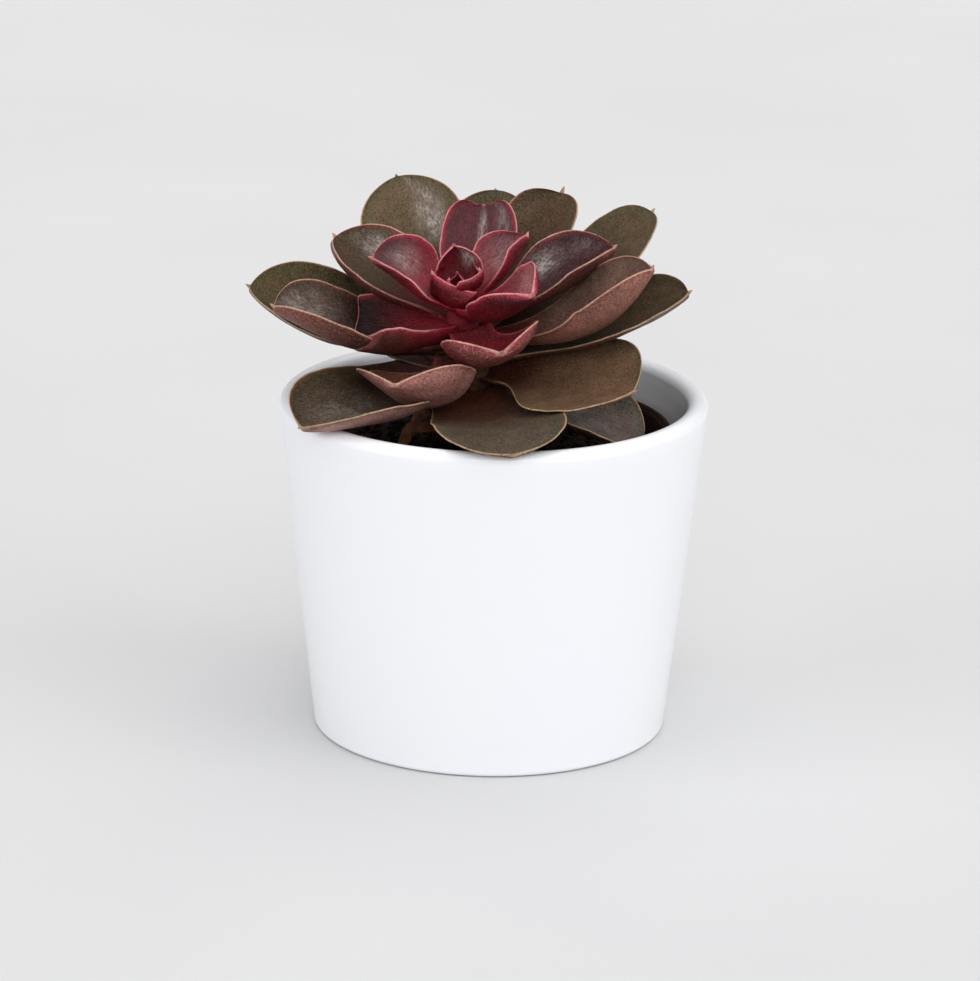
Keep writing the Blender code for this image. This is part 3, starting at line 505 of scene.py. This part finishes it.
# A leaf: stations run from inside the stem along the midrib and on to the point of the spine.
# At each station a closed ring goes over the upper face, round one margin, back along the
# underside and round the other margin. Each side of the blade leaves the midrib at the angle
# fold and turns up by cup towards its margin, so a place across is the running sum of the
# cosine and sine of its angle. The underside lies the blade's thickness below the upper face.
def leafSurface(leaf, seed, rows=84, columns=45, edgePoints=3, spineRows=7):
    curve = midribOf(leaf)
    steps = np.linalg.norm(np.diff(curve, axis=0), axis=1)
    length = np.concatenate([[0], np.cumsum(steps)])
    total = length[-1]
    stations = 1 - (1 - np.linspace(0, 1, rows)) ** bladeDetail["stationCrowding"]
    along = np.concatenate([[-rosette["rootOverlap"] / total], stations])
    spineLength = rosette["spineLength"] * leaf["spine"]
    spine = np.linspace(0, 1, spineRows + 1)[1:] * spineLength / total
    along = np.concatenate([along, 1 + spine])
    inside = np.clip(along, 0, 1)
    slope = np.gradient(curve, length, axis=0)
    place = np.stack([np.interp(inside * total, length, c) for c in curve.T], axis=-1)
    way = np.stack([np.interp(inside * total, length, c) for c in slope.T], axis=-1)
    way /= np.linalg.norm(way, axis=1)[:, None]
    place = place + way * ((along - inside) * total)[:, None]

    u = np.sin(np.linspace(-np.pi / 2, np.pi / 2, columns))

    def bySide(first, second):
        return np.where(u >= 0, first, second)

    def marginWave(firstSeed, pitch):
        return bySide(*[wave(along * total, firstSeed + side, pitch)[:, None] for side in (0, 1)])

    # The spine is a thorn that starts inside the tip, 0.6 of its length before it.
    near = np.clip((along - 1) * total / spineLength + 0.6, 0, 1.6) / 1.6
    thorn = rosette["spineRadius"] * np.clip(1.02 - near, 0.02, 1) ** 0.85 * ease(along, 0.8, 0.99)
    blade = bySide(*[halfWidthOf(inside, leaf, side)[:, None] for side in (0, 1)]) * (along <= 1)[:, None]
    half = (blade ** 3 + thorn[:, None] ** 3) ** (1 / 3)

    grown = np.clip(inside / bladeDetail["openShare"], 0, 1)[:, None]
    opening = leaf["baseLift"] + (1 - leaf["baseLift"]) * grown
    fold = np.radians(bySide(*leaf["fold"])) * opening
    cup = np.radians(bySide(*leaf["cup"])) * opening
    angle = fold * (1 - np.exp(-(np.abs(u) / leaf["crease"]) ** 2)) + cup * np.abs(u)
    ripple = bladeDetail["ripple"] * marginWave(seed + 1, bladeDetail["ripplePitch"])
    angle = angle + ripple * np.abs(u) ** 3 * grown ** 2

    def runningSum(values):
        middle = (values[:, 1:] + values[:, :-1]) / 2 * np.diff(u)
        summed = np.concatenate([np.zeros((len(values), 1)), np.cumsum(middle, axis=1)], axis=1)
        return summed - summed[:, columns // 2:columns // 2 + 1]

    nibble = bladeDetail["nibble"] * marginWave(seed + 3, bladeDetail["nibblePitch"])
    reachOut = half + nibble * grown ** 2 * (half > 3)
    out = runningSum(np.cos(angle)) * reachOut
    lift = runningSum(np.sin(angle) * np.sign(u)) * reachOut

    roll = math.radians(leaf["roll"]) * grown ** bladeDetail["rollEasing"]
    sideways = np.array([[0.0, 1, 0]])
    rising = np.stack([-way[:, 1], np.zeros(len(way)), way[:, 0]], axis=-1)
    forward = np.stack([way[:, 0], np.zeros(len(way)), way[:, 1]], axis=-1)
    side = sideways * np.cos(roll) + rising * np.sin(roll)
    normal = rising * np.cos(roll) - sideways * np.sin(roll)
    centre = np.stack([place[:, 0], np.zeros(len(place)), place[:, 1]], axis=-1)

    tipShare = np.clip((inside - bladeDetail["notchFrom"]) / (1 - bladeDetail["notchFrom"]), 0, 1)[:, None]
    shoulder = tipShare ** 2 * (along <= 1)[:, None]
    push = leaf["notch"] * shoulder * (1 - np.exp(-(u * half / leaf["notchWidth"]) ** 2))
    swell = wave(u[None, :] * 4 + along[:, None] * 9, seed + 5, bladeDetail["swellPitch"])
    swell = bladeDetail["swell"] * swell * grown
    upper = (centre[:, None] + side[:, None] * out[..., None] + normal[:, None] * (lift + swell)[..., None]
             + forward[:, None] * push[..., None])
    level = np.cos(angle)[..., None]
    tilted = np.sin(angle)[..., None]
    whichSide = np.sign(u)[:, None]
    facing = normal[:, None] * level - side[:, None] * tilted * whichSide
    outward = side[:, None] * level * whichSide + normal[:, None] * tilted

    core = leaf["thick"] * np.interp(inside, bladeDetail["coreAlong"], bladeDetail["coreShare"])[:, None]
    edge = rosette["marginThickness"]
    thickness = edge + (core - edge) * (1 - np.abs(u) ** bladeDetail["coreEasing"])
    thickness = thickness * np.clip(0.6 + half / 8, 0.6, 1)
    thickness = np.minimum(thickness, 1.7 * half + 0.05)
    lower = upper - facing * thickness[..., None]

    # The rounded margins: half circles between the two faces.
    def marginArc(column, backwards):
        turns = np.radians(np.linspace(0, 180, edgePoints + 2)[1:-1])
        turns = turns[::-1] if backwards else turns
        radius = thickness[:, column, None] / 2
        middle = upper[:, column] - facing[:, column] * radius
        bow = outward[:, column, None] * np.sin(turns)[None, :, None]
        bow = bow + facing[:, column, None] * np.cos(turns)[None, :, None]
        return middle[:, None] + bow * radius[:, None]

    ringParts = [upper, marginArc(-1, False), lower[:, ::-1], marginArc(0, True)]
    points = np.concatenate(ringParts, axis=1)
    ends = np.stack([points[0].mean(axis=0), points[-1].mean(axis=0) + forward[-1] * 0.1])

    arcs = np.ones(edgePoints)
    shareAcross = np.concatenate([u, arcs, u[::-1], -arcs])
    halfRound = np.concatenate([half, half[:, -1:] * arcs, half[:, ::-1], half[:, :1] * arcs], axis=1)
    across = shareAcross * halfRound
    isUnder = np.concatenate([u * 0, arcs * 0.5, u * 0 + 1, arcs * 0.5])
    reach = (1 - np.abs(shareAcross)) * halfRound
    toEdge = np.minimum(reach, np.maximum((1 - inside) * total, 0)[:, None] * 0.8 + reach * 0.3)
    alongMm = np.broadcast_to((along * total)[:, None], across.shape)
    isUnder = np.broadcast_to(isUnder, across.shape)
    shareAcross = np.broadcast_to(shareAcross, across.shape)
    return dict(
        points=np.concatenate([points.reshape(-1, 3), ends]), rows=len(along), ring=points.shape[1],
        length=total, across=across, along=alongMm, under=isUnder, toEdge=toEdge, shareAcross=shareAcross)


# A leaf's colour at each point: its face mixed to its underside, then to the root's colour by an S
# of the distance from the root. The root's colour is red on young leaves, and a painted shade on
# some old ones. The face is warmer in its middle. A band inside the margin is a bell of the
# distance to it, and a pale rim lies on it.
def leafTint(leaf, grid):
    def tone(key):
        if key in leaf:
            return np.array(paint(*leaf[key]))
        shades = np.array([paint(*shade) for shade in ageColours[key]])
        return np.array([np.interp(leaf["age"], ageColours["age"], shades[:, k]) for k in range(3)])

    under = grid["under"][..., None]
    toEdge = grid["toEdge"][..., None]
    along = grid["along"][..., None]
    colour = tone("face") * (1 - under) + tone("under") * under
    # The root's colour: red on young leaves, painted shade on some old ones.
    red = 1 - ease(along, *leaf["rootRedAndShadeTo"])
    colour = colour * (1 - red) + tone("root") * red
    centre = ease(toEdge, *tintLook["centreFrom"]) - 0.5
    colour = colour * (1 + centre * np.array(tintLook["centreShift"]) * (1 - under))
    band = np.exp(-(toEdge / tintLook["bandWidth"]) ** 2) * tintLook["bandStrength"]
    colour = colour * (1 - band) + tone("band") * band
    rim = (1 - ease(toEdge, 0, tintLook["rimWidth"])) * tintLook["rimStrength"]
    rim = rim * ease(along, *tintLook["rimFrom"])
    return colour * (1 - rim) + tone("rim") * rim


# Makes one leaf's piece. Its painted highlight, a frosty whitish waxy sheen, is a sum of bells
# along and across its face, and bladePlace is the place across and along it in mm, with a third
# number that gives each leaf a noise of its own.
def makeLeaf(name, values, seed, noiseStep=7.3):
    leaf = {**leafDefaults, **values}
    grid = leafSurface(leaf, seed)
    frostyHighlight = np.zeros(grid["along"].shape)
    for share, acrossShare, sizeAlong, sizeAcross, strength in leaf["frostyHighlight"]:
        far = ((grid["along"] / grid["length"] - share) / sizeAlong) ** 2
        far = far + ((grid["shareAcross"] - acrossShare) / sizeAcross) ** 2
        frostyHighlight = frostyHighlight + strength * np.exp(-far) * (1 - grid["under"])

    def withEnds(field):
        flat = field.reshape(-1, field.shape[-1]) if field.ndim == 3 else field.ravel()
        return np.concatenate([flat, flat[:1], flat[-1:]])

    ownNoise = np.full(grid["along"].shape, seed * noiseStep)
    fields = dict(
        tint=leafTint(leaf, grid), bladePlace=np.stack([grid["across"], grid["along"], ownNoise], axis=-1),
        under=grid["under"], frostyHighlight=np.clip(frostyHighlight, 0, 1))
    turn = math.radians(leaf["azimuth"])
    spin = np.array([[math.cos(turn), math.sin(turn), 0], [-math.sin(turn), math.cos(turn), 0], [0, 0, 1]])
    points = toWorld(grid["points"] @ spin)
    young = leaf["age"] < rosette["youngAge"]
    skin = innerLeaf if young else outerLeaf
    attributes = {key: withEnds(field) for key, field in fields.items()}
    piece = addPiece(name + "_blade", points, ringFaces(grid["rows"], grid["ring"]), skin, attributes)
    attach(piece, "root")
    if name in frame["nodes"]:
        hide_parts(name)


for leafNumber, (leafName, leafValues) in enumerate(leafShapes.items()):
    makeLeaf(leafName, leafValues, 11 * leafNumber + 3)
print("stage:", len(leafShapes), "leaves")


stemLook = dict(
    bark=paint(60, 30, 18), scar=paint(92, 54, 30), young=paint(128, 10, 34), roughness=0.7,
    patchScale=260, barkScale=700, barkDepth=0.001, scarHeight=0.35, scarPitch=0.9,
    scarsFrom=(8, 16), youngTo=(12, 24),
)


# Stem bark: bark to scar colour by a 4 mm noise, then the young colour by the young attribute.
# The bark colour is partly the stem's own brown and partly painted shade, darkened for the shade
# under the rosette. Bumps from a 1.4 mm noise.
def stemMaterial(look):
    s = Shader("stemBark", look["bark"], look["roughness"])
    world = s.objectPlace()
    patches = s.noise(world, look["patchScale"], 6, 0.65)
    colour = s.mix(s.spread(patches, 0.35, 0.65), look["bark"], look["scar"])
    colour = s.mix(s.attribute("young"), colour, look["young"])
    s.put(s.bsdf.inputs["Base Color"], colour)
    furrows = s.noise(world, look["barkScale"], 6, 0.7)
    s.put(s.bsdf.inputs["Normal"], s.bump(furrows, 0.7, look["barkDepth"]))
    return s.material


# The stem: rings down the leaning axis, whose radius is the taper's times a square root that
# rounds the tip, plus scars: the cube of a sine of the height, bent round the stem by two sines
# of the turn. Ends in a pole at the tip and one in the soil.
def stemSurface(rows=150, ring=64):
    drop = np.linspace(-1.0, rosette["stemLength"], rows)[:, None]
    turn = np.linspace(0, math.tau, ring, endpoint=False)[None, :]
    radius = stemRadiusAt(drop) * np.sqrt(np.clip((drop + 1.2) / 2.2, 0.02, 1))
    bend = 1.5 * np.sin(turn * 2) + 1.2 * np.sin(turn * 3 + 1)
    scars = stemLook["scarHeight"] * np.abs(np.sin(drop * stemLook["scarPitch"] + bend)) ** 3
    radius = radius + (scars - 0.15) * ease(drop, *stemLook["scarsFrom"])
    points = np.stack([radius * np.cos(turn), radius * np.sin(turn), -drop + 0 * turn], axis=-1)
    ends = np.array([[0, 0, 1.15], [0, 0, -rosette["stemLength"]]])
    young = 1 - ease(np.broadcast_to(drop, points.shape[:2]).ravel(), *stemLook["youngTo"])
    young = np.concatenate([young, [1, 0]])
    return np.concatenate([points.reshape(-1, 3), ends]), turnedOver(ringFaces(rows, ring)), young


stemPoints, stemFaces, stemYoung = stemSurface()
stem = addPiece("stem_skin", toWorld(stemPoints), stemFaces, stemMaterial(stemLook), dict(young=stemYoung))
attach(stem, "root")
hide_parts("stem_with_heart")
print("stage: stem")


# A turned piece: a closed profile of (radius, height) points carried round the Z axis, with a
# wobble added to each height. The profile starts and ends on the axis, which gives two poles.
def turnedPiece(name, profile, sides, material, wobble=None):
    profile = np.array(profile, float)
    turn = np.linspace(0, math.tau, sides, endpoint=False)
    radius = profile[1:-1, 0][:, None] + np.zeros(sides)
    height = profile[1:-1, 1][:, None] + np.zeros(sides)
    if wobble:
        height = height + wobble(radius, turn, height)
    points = np.stack([radius * np.cos(turn), radius * np.sin(turn), height], axis=-1)
    ends = np.array([[0, 0, profile[0, 1]], [0, 0, profile[-1, 1]]])
    if wobble:
        ends[0, 2] = points[0, :, 2].mean()
    points = np.concatenate([points.reshape(-1, 3), ends])
    return addPiece(name, points, turnedOver(ringFaces(len(profile) - 2, sides)), material)


# Points of a circle's arc between two angles in degrees.
def arcPoints(centre, radius, start, end, steps):
    turns = np.radians(np.linspace(start, end, steps + 1))
    return [(centre[0] + radius * math.cos(a), centre[1] + radius * math.sin(a)) for a in turns]


# Points on the straight line from the last point to the target, without the last point itself.
def runTo(points, target, steps):
    start = points[-1]
    return [(start[0] + (target[0] - start[0]) * k / steps, start[1] + (target[1] - start[1]) * k / steps)
            for k in range(1, steps + 1)]


whitePot = dict(
    height=115, rimRadius=72, baseRadius=59.7, lip=7, floor=7, corner=1.5, insideRadius=54,
    insideCorner=3, colour=paint(243, 245, 248), cloud=paint(241, 243, 247), cloudScale=12,
    roughness=0.28, coat=0.25, coatRoughness=0.12,
)


# White glaze: two near whites mixed by a wide, soft noise, under a clear coat.
def glazeMaterial(look):
    s = Shader("whiteGlaze", look["colour"], look["roughness"])
    clouds = s.spread(s.noise(s.objectPlace(), look["cloudScale"], 2, 0.4), 0.3, 0.7)
    s.put(s.bsdf.inputs["Base Color"], s.mix(clouds, look["colour"], look["cloud"]))
    s.bsdf.inputs["Coat Weight"].default_value = look["coat"]
    s.bsdf.inputs["Coat Roughness"].default_value = look["coatRoughness"]
    return s.material


# The pot's profile: up the inside from the middle of its floor, over the half round lip, down
# the outside, round the foot's corner and back to the middle.
def potProfile(pot):
    lip = pot["lip"] / 2
    corner = pot["corner"]
    profile = [(0, pot["floor"]), (20, pot["floor"])]
    profile += runTo(profile, (pot["insideRadius"] - pot["insideCorner"], pot["floor"]), 4)
    inside = (pot["insideRadius"] - pot["insideCorner"] + 0.4, pot["floor"] + pot["insideCorner"])
    profile += arcPoints(inside, pot["insideCorner"], -90, 0, 6)
    profile += runTo(profile, (pot["rimRadius"] - 2 * lip - 0.2, pot["height"] - lip - 1), 30)
    profile += arcPoints((pot["rimRadius"] - lip, pot["height"] - lip), lip, 180, 0, 24)
    profile += runTo(profile, (pot["baseRadius"], corner + 1), 30)
    profile += arcPoints((pot["baseRadius"] - corner, corner), corner, 0, -90, 8)
    return profile + runTo(profile, (10, 0), 6) + [(0, 0)]


coverPot = turnedPiece("cover_pot_glazed", potProfile(whitePot), 240, glazeMaterial(whitePot))
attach(coverPot, "root")
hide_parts("cover_pot")


# The plastic's two colours are far darker than terracotta plastic: painted shade, for the dark inside of
# the pot.
nurseryPot = dict(
    rimHeight=103.7, rimRadius=60.2, rimDepth=5, rimWall=2, shoulder=57.8, baseRadius=43, wall=1,
    base=7.3, holes=6, holeRadius=4, holeRing=28, colour=paint(38, 17, 12), dust=paint(24, 12, 9),
    dustScale=120, grainScale=900, grainDepth=0.0005, roughness=0.7, specular=0.1,
)


# Moulded plastic: its colour mixed to dust where an 8 mm noise is high, with a 1 mm grain. Both
# colours are darkened well below the plastic's own, as painted shade.
def plasticMaterial(look):
    s = Shader("terracottaPlastic", look["colour"], look["roughness"])
    world = s.objectPlace()
    dusty = s.spread(s.noise(world, look["dustScale"], 5, 0.65), 0.45, 0.75)
    s.put(s.bsdf.inputs["Base Color"], s.mix(dusty, look["colour"], look["dust"]))
    s.bsdf.inputs["Specular IOR Level"].default_value = look["specular"]
    grain = s.noise(world, look["grainScale"], 3)
    s.put(s.bsdf.inputs["Normal"], s.bump(grain, 0.25, look["grainDepth"]))
    return s.material


# The nursery pot's profile: up the inside from the middle of its floor, over the rolled rim, back
# in under it to the shoulder, and down the thin outside.
def nurseryProfile(pot):
    wall = pot["wall"]
    floorTop = pot["base"] + wall
    rimTop = pot["rimHeight"]
    rimBottom = rimTop - pot["rimDepth"]
    profile = [(0, floorTop), (12, floorTop)]
    profile += runTo(profile, (pot["baseRadius"] - wall, floorTop), 3)
    profile += runTo(profile, (pot["shoulder"] - wall, rimBottom), 20)
    profile += runTo(profile, (pot["rimRadius"] - pot["rimWall"] - 0.4, rimTop - 0.8), 3)
    profile += arcPoints((pot["rimRadius"] - 1, rimTop - 1), 1, 180, 0, 10)
    profile += runTo(profile, (pot["rimRadius"], rimBottom), 3)
    profile += [(pot["shoulder"], rimBottom - 0.6)]
    profile += runTo(profile, (pot["baseRadius"], pot["base"]), 12)
    return profile + [(12, pot["base"]), (0, pot["base"])]


innerPot = turnedPiece("nursery_pot_moulded", nurseryProfile(nurseryPot), 160, plasticMaterial(nurseryPot))
# The drain holes are cut with a ring of short cylinders.
drillHoles = innerPot.modifiers.new("drainHoles", "BOOLEAN")
drillHoles.operation = "DIFFERENCE"
drillHoles.operand_type = "COLLECTION"
drills = bpy.data.collections.new("drills")
bpy.context.scene.collection.children.link(drills)
for k in range(nurseryPot["holes"]):
    bpy.ops.mesh.primitive_cylinder_add(vertices=32, radius=nurseryPot["holeRadius"] * mm, depth=6 * mm)
    drill = bpy.context.object
    turn = math.tau * k / nurseryPot["holes"]
    ringRadius = nurseryPot["holeRing"] * mm
    drill.location = (ringRadius * math.cos(turn), ringRadius * math.sin(turn), nurseryPot["base"] * mm)
    drill.users_collection[0].objects.unlink(drill)
    drills.objects.link(drill)
drillHoles.collection = drills
bpy.context.view_layer.update()
drilled = bpy.data.meshes.new_from_object(innerPot.evaluated_get(bpy.context.evaluated_depsgraph_get()))
innerPot.modifiers.clear()
innerPot.data = drilled
for drill in list(drills.objects):
    bpy.data.objects.remove(drill, do_unlink=True)
bpy.data.collections.remove(drills)
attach(innerPot, "root")
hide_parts("nursery_pot")
print("stage: pots")


soilLook = dict(
    edgeHeight=96, mound=1.5, edgeRadius=55.2, bottomRadius=41.4, bottom=8.6, crumbs=1500,
    crumbSize=(0.35, 1.45), colour=paint(38, 27, 20), dark=paint(16, 11, 8), fleck=paint(92, 66, 44),
    clodScale=500, clodDepth=0.002, fleckScale=1100, roughness=0.95, specular=0.1,
)


# Potting soil: dark to brown by a noise of 2 mm clods, which also raises it, with flecks of bark
# where a 1 mm noise is high.
def soilMaterial(look):
    s = Shader("pottingSoil", look["colour"], look["roughness"])
    world = s.objectPlace()
    clods = s.noise(world, look["clodScale"], 6, 0.7)
    colour = s.mix(s.spread(clods, 0.3, 0.7), look["dark"], look["colour"])
    flecks = s.noise(world, look["fleckScale"], 2, 0.5)
    colour = s.mix(s.spread(flecks, 0.66, 0.72), colour, look["fleck"])
    s.put(s.bsdf.inputs["Base Color"], colour)
    s.bsdf.inputs["Specular IOR Level"].default_value = look["specular"]
    s.put(s.bsdf.inputs["Normal"], s.bump(clods, 0.9, look["clodDepth"]))
    return s.material


# The height of the soil's mound: a quarter cosine of the radius, from the middle to the edge.
def soilLevel(radius):
    quarter = radius / soilLook["edgeRadius"] * math.pi / 2
    return soilLook["edgeHeight"] + soilLook["mound"] * np.cos(quarter)


# The soil's relief: a sum of three soft waves across the top, which fades to none in the last
# 3 mm before the edge. The sides and the bottom have none.
def soilRelief(radius, turn, height):
    x = radius * np.cos(turn)
    y = radius * np.sin(turn)
    rough = 0.5 * wave(x + 0.4 * y, 71, 0.5, 5) + 0.5 * wave(y - 0.3 * x, 72, 0.55, 5)
    rough = rough + 0.25 * wave(x - y, 73, 1.7, 4)
    return rough * (height > 90) * ease(-radius, -soilLook["edgeRadius"], -soilLook["edgeRadius"] + 3)


soilFoot = (soilLook["bottomRadius"], soilLook["bottom"])
topRadii = np.linspace(0.5, soilLook["edgeRadius"], 90)
soilProfile = [(0, soilLevel(0))] + [(radius, soilLevel(radius)) for radius in topRadii]
soilProfile += runTo(soilProfile, soilFoot, 8) + [(0, soilLook["bottom"])]
earth = soilMaterial(soilLook)
soilBody = turnedPiece("soil_ground", soilProfile, 220, earth, soilRelief)
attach(soilBody, "root")
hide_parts("soil")


# Crumbs: one small ball of rings with a pole at each end. Each copy is stretched, made lumpy,
# turned about two axes and put on the soil at an even random place, sunk by most of its height.
def crumbSurface(count, seed=5, rings=4, sides=7):
    rng = np.random.default_rng(seed)
    tilt = np.linspace(0.35, math.pi - 0.35, rings)[:, None]
    turn = np.linspace(0, math.tau, sides, endpoint=False)[None, :]
    ball = np.stack([np.sin(tilt) * np.cos(turn), np.sin(tilt) * np.sin(turn), np.cos(tilt) + 0 * turn], -1)
    ball = np.concatenate([ball.reshape(-1, 3), [[0, 0, 1], [0, 0, -1]]])
    small, large = soilLook["crumbSize"]
    size = small + (large - small) * rng.random((count, 1, 1)) ** 3
    stretch = rng.uniform(0.7, 1.4, (count, 1, 3))
    lumps = rng.uniform(0.8, 1.2, (count, len(ball), 1))
    shape = ball[None] * lumps * stretch * size
    a, b = rng.uniform(0, math.tau, (2, count, 1))
    x, y, z = shape[..., 0], shape[..., 1], shape[..., 2]
    x, y = x * np.cos(a) - y * np.sin(a), x * np.sin(a) + y * np.cos(a)
    y, z = y * np.cos(b) - z * np.sin(b), y * np.sin(b) + z * np.cos(b)
    radius = (soilLook["edgeRadius"] - 1.5) * np.sqrt(rng.random((count, 1)))
    spot = rng.uniform(0, math.tau, (count, 1))
    level = soilLevel(radius)
    z = z + level + soilRelief(radius, spot, level) + 0.2 * size[:, 0]
    points = np.stack([x + radius * np.cos(spot), y + radius * np.sin(spot), z], axis=-1)
    one = turnedOver(ringFaces(rings, sides))
    faces = [[corner + k * len(ball) for corner in face] for k in range(count) for face in one]
    return points.reshape(-1, 3), faces


crumbPoints, crumbFaces = crumbSurface(soilLook["crumbs"])
crumbs = addPiece("soil_crumbs", crumbPoints, crumbFaces, earth)
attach(crumbs, "root")
print("stage: soil")


# The dry leaves. A route is the four control points of a curve, in mm from the pot's base.
withered = dict(
    routes=dict(
        withered_leaf_arched=(
            (-11.2, -4.6, 101.0), (-17.0, -14.0, 109.0), (-29.5, -17.0, 118.0), (-32.0, -15.0, 97.3)),
        withered_leaf_hanging=(
            (-13.2, -3.2, 114.0), (-19.0, -7.0, 116.5), (-27.0, -9.0, 114.0), (-28.0, -9.5, 103.0)),
    ),
    width=12, tipWidth=6, thickness=0.64, curl=70, crumple=0.25, crumplePitch=0.9,
    colour=paint(150, 94, 56), dark=paint(70, 40, 26), fibreStretch=(2.2, 0.3, 1), fibreDepth=0.0015,
    roughness=0.85,
)


# Dry leaf: dark to light brown by a noise drawn out into fibres along it, which also raises them.
def dryMaterial(look):
    s = Shader("dryLeaf", look["colour"], look["roughness"])
    blade = s.attribute("bladePlace", "Vector")
    fibres = s.noise(s.place(blade, look["fibreStretch"]), 1.0, 5, 0.65)
    s.put(s.bsdf.inputs["Base Color"], s.mix(s.spread(fibres, 0.35, 0.65), look["dark"], look["colour"]))
    s.put(s.bsdf.inputs["Normal"], s.bump(fibres, 0.8, look["fibreDepth"]))
    return s.material


# A dry leaf: a strip carried along a cubic curve. Its sides turn down by curl, so a place across
# is the sine and the cosine of its angle over curl, and a soft wave crumples it. The ring goes
# over the top and back underneath.
def drySurface(route, seed, rows=70, columns=17):
    a, b, c, d = np.array(route)
    t = np.linspace(0, 1, rows)[:, None]
    place = cubicCurve(t, a, b, c, d)
    way = np.gradient(place, axis=0)
    gone = np.concatenate([[0], np.cumsum(np.linalg.norm(np.diff(place, axis=0), axis=1))])
    way /= np.linalg.norm(way, axis=1)[:, None]
    level = np.cross([0, 0, 1.0], d - a)
    level /= np.linalg.norm(level)
    side = level - way * (way @ level)[:, None]
    side /= np.linalg.norm(side, axis=1)[:, None]
    normal = np.cross(way, side)
    u = np.linspace(-1, 1, columns)
    width = withered["width"] + (withered["tipWidth"] - withered["width"]) * np.clip(2 * t - 1, 0, 1)
    half = width / 2
    curl = math.radians(withered["curl"])
    angle = curl * np.abs(u) * (1 + 0.2 * wave(gone, seed, 0.5))[:, None]
    out = half * np.sin(curl * u) / curl
    drop = half * (np.cos(angle) - 1) / curl
    crumple = withered["crumple"] * wave(gone[:, None] + 3 * u, seed + 1, withered["crumplePitch"])
    upper = place[:, None] + side[:, None] * out[..., None] + normal[:, None] * (drop + crumple)[..., None]
    tilted = (np.sin(angle) * np.sign(u))[..., None]
    facing = normal[:, None] * np.cos(angle)[..., None] + side[:, None] * tilted
    lower = upper - facing * withered["thickness"]
    points = np.concatenate([upper, lower[:, ::-1]], axis=1)
    ends = np.stack([points[0].mean(axis=0), points[-1].mean(axis=0)])
    across = np.concatenate([u, u[::-1]])[None] * half
    along = np.broadcast_to(gone[:, None], across.shape)
    blade = np.stack([across, along, np.full(across.shape, seed)], axis=-1).reshape(-1, 3)
    blade = np.concatenate([blade, blade[:1], blade[-1:]])
    return np.concatenate([points.reshape(-1, 3), ends]), ringFaces(rows, 2 * columns), blade


drySkin = dryMaterial(withered)
for dryNumber, (dryName, route) in enumerate(withered["routes"].items()):
    dryPoints, dryFaces, dryPlace = drySurface(route, 31 + dryNumber)
    dryLeaf = addPiece(dryName + "_strip", dryPoints, dryFaces, drySkin, dict(bladePlace=dryPlace))
    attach(dryLeaf, "root")
    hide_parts(dryName)
print("stage: withered leaves")


# The studio: a pale paper floor and four soft lamps, and the camera, in metres.
studio = dict(
    floorColour=paint(215, 215, 215), floorCloud=paint(210, 210, 211), floorHalfWidth=6000,
    floorNear=-6000, floorFar=9000, floorHeight=-0.2, worldColour=paint(236, 236, 238), worldStrength=0.34,
    lamps=dict(
        topLamp=dict(towards=(0.2, 0.15, 1.0), strength=1.6, softness=80),
        leftLamp=dict(towards=(-0.9, -0.43, 0.4), strength=1.15, softness=60),
        rightLamp=dict(towards=(0.82, -0.57, 0.45), strength=1.15, softness=60),
        frontLamp=dict(towards=(0.05, -1.0, 0.75), strength=0.62, softness=30),
    ),
)
camera = dict(
    place=(0, -1.6131, 0.5761), right=(0.99988, 0.00498, 0.01477), up=(-0.01558, 0.29334, 0.95588),
    forward=(-0.0004, 0.9560, -0.2934), focalPixels=5000, framePixels=981, sensor=36,
)

# Paper: two near greys mixed by a wide noise.
def paperMaterial(look):
    s = Shader("paperFloor", look["floorColour"], 0.9)
    clouds = s.spread(s.noise(s.objectPlace(), 3, 3), 0.3, 0.7)
    s.put(s.bsdf.inputs["Base Color"], s.mix(clouds, look["floorColour"], look["floorCloud"]))
    return s.material


floorX = np.array([-1, 1, 1, -1]) * studio["floorHalfWidth"]
floorY = np.array([studio["floorNear"], studio["floorNear"], studio["floorFar"], studio["floorFar"]])
floorCorners = np.stack([floorX, floorY, np.full(4, studio["floorHeight"])], axis=-1)
floor = addPiece("paper_floor", floorCorners, [(0, 1, 2, 3)], paperMaterial(studio))

air = bpy.data.worlds.new("studioAir")
bpy.context.scene.world = air
air.use_nodes = True
airLight = air.node_tree.nodes["Background"]
airLight.inputs["Color"].default_value = (*studio["worldColour"], 1)
airLight.inputs["Strength"].default_value = studio["worldStrength"]


# A soft lamp that shines from the direction towards, as wide in the sky as softness in degrees.
def softLamp(name, towards, strength, softness):
    light = bpy.data.lights.new(name, "SUN")
    light.energy = strength
    light.angle = math.radians(softness)
    item = bpy.data.objects.new(name, light)
    bpy.context.scene.collection.objects.link(item)
    item.rotation_euler = Vector(towards).to_track_quat("Z", "Y").to_euler()


for lampName, lamp in studio["lamps"].items():
    softLamp(lampName, **lamp)

eye = bpy.data.cameras.new("photoCamera")
eye.sensor_width = camera["sensor"]
eye.lens = camera["focalPixels"] * camera["sensor"] / camera["framePixels"]
eye.clip_end = 50
eyeObject = bpy.data.objects.new("photoCamera", eye)
bpy.context.scene.collection.objects.link(eyeObject)
eyeAxes = np.stack([camera["right"], camera["up"], -np.array(camera["forward"])]).T.tolist()
eyeObject.matrix_world = Matrix([[*row, p] for row, p in zip(eyeAxes, camera["place"])] + [[0, 0, 0, 1]])
bpy.context.scene.camera = eyeObject
bpy.context.scene.view_settings.view_transform = "Standard"
print("stage: studio")
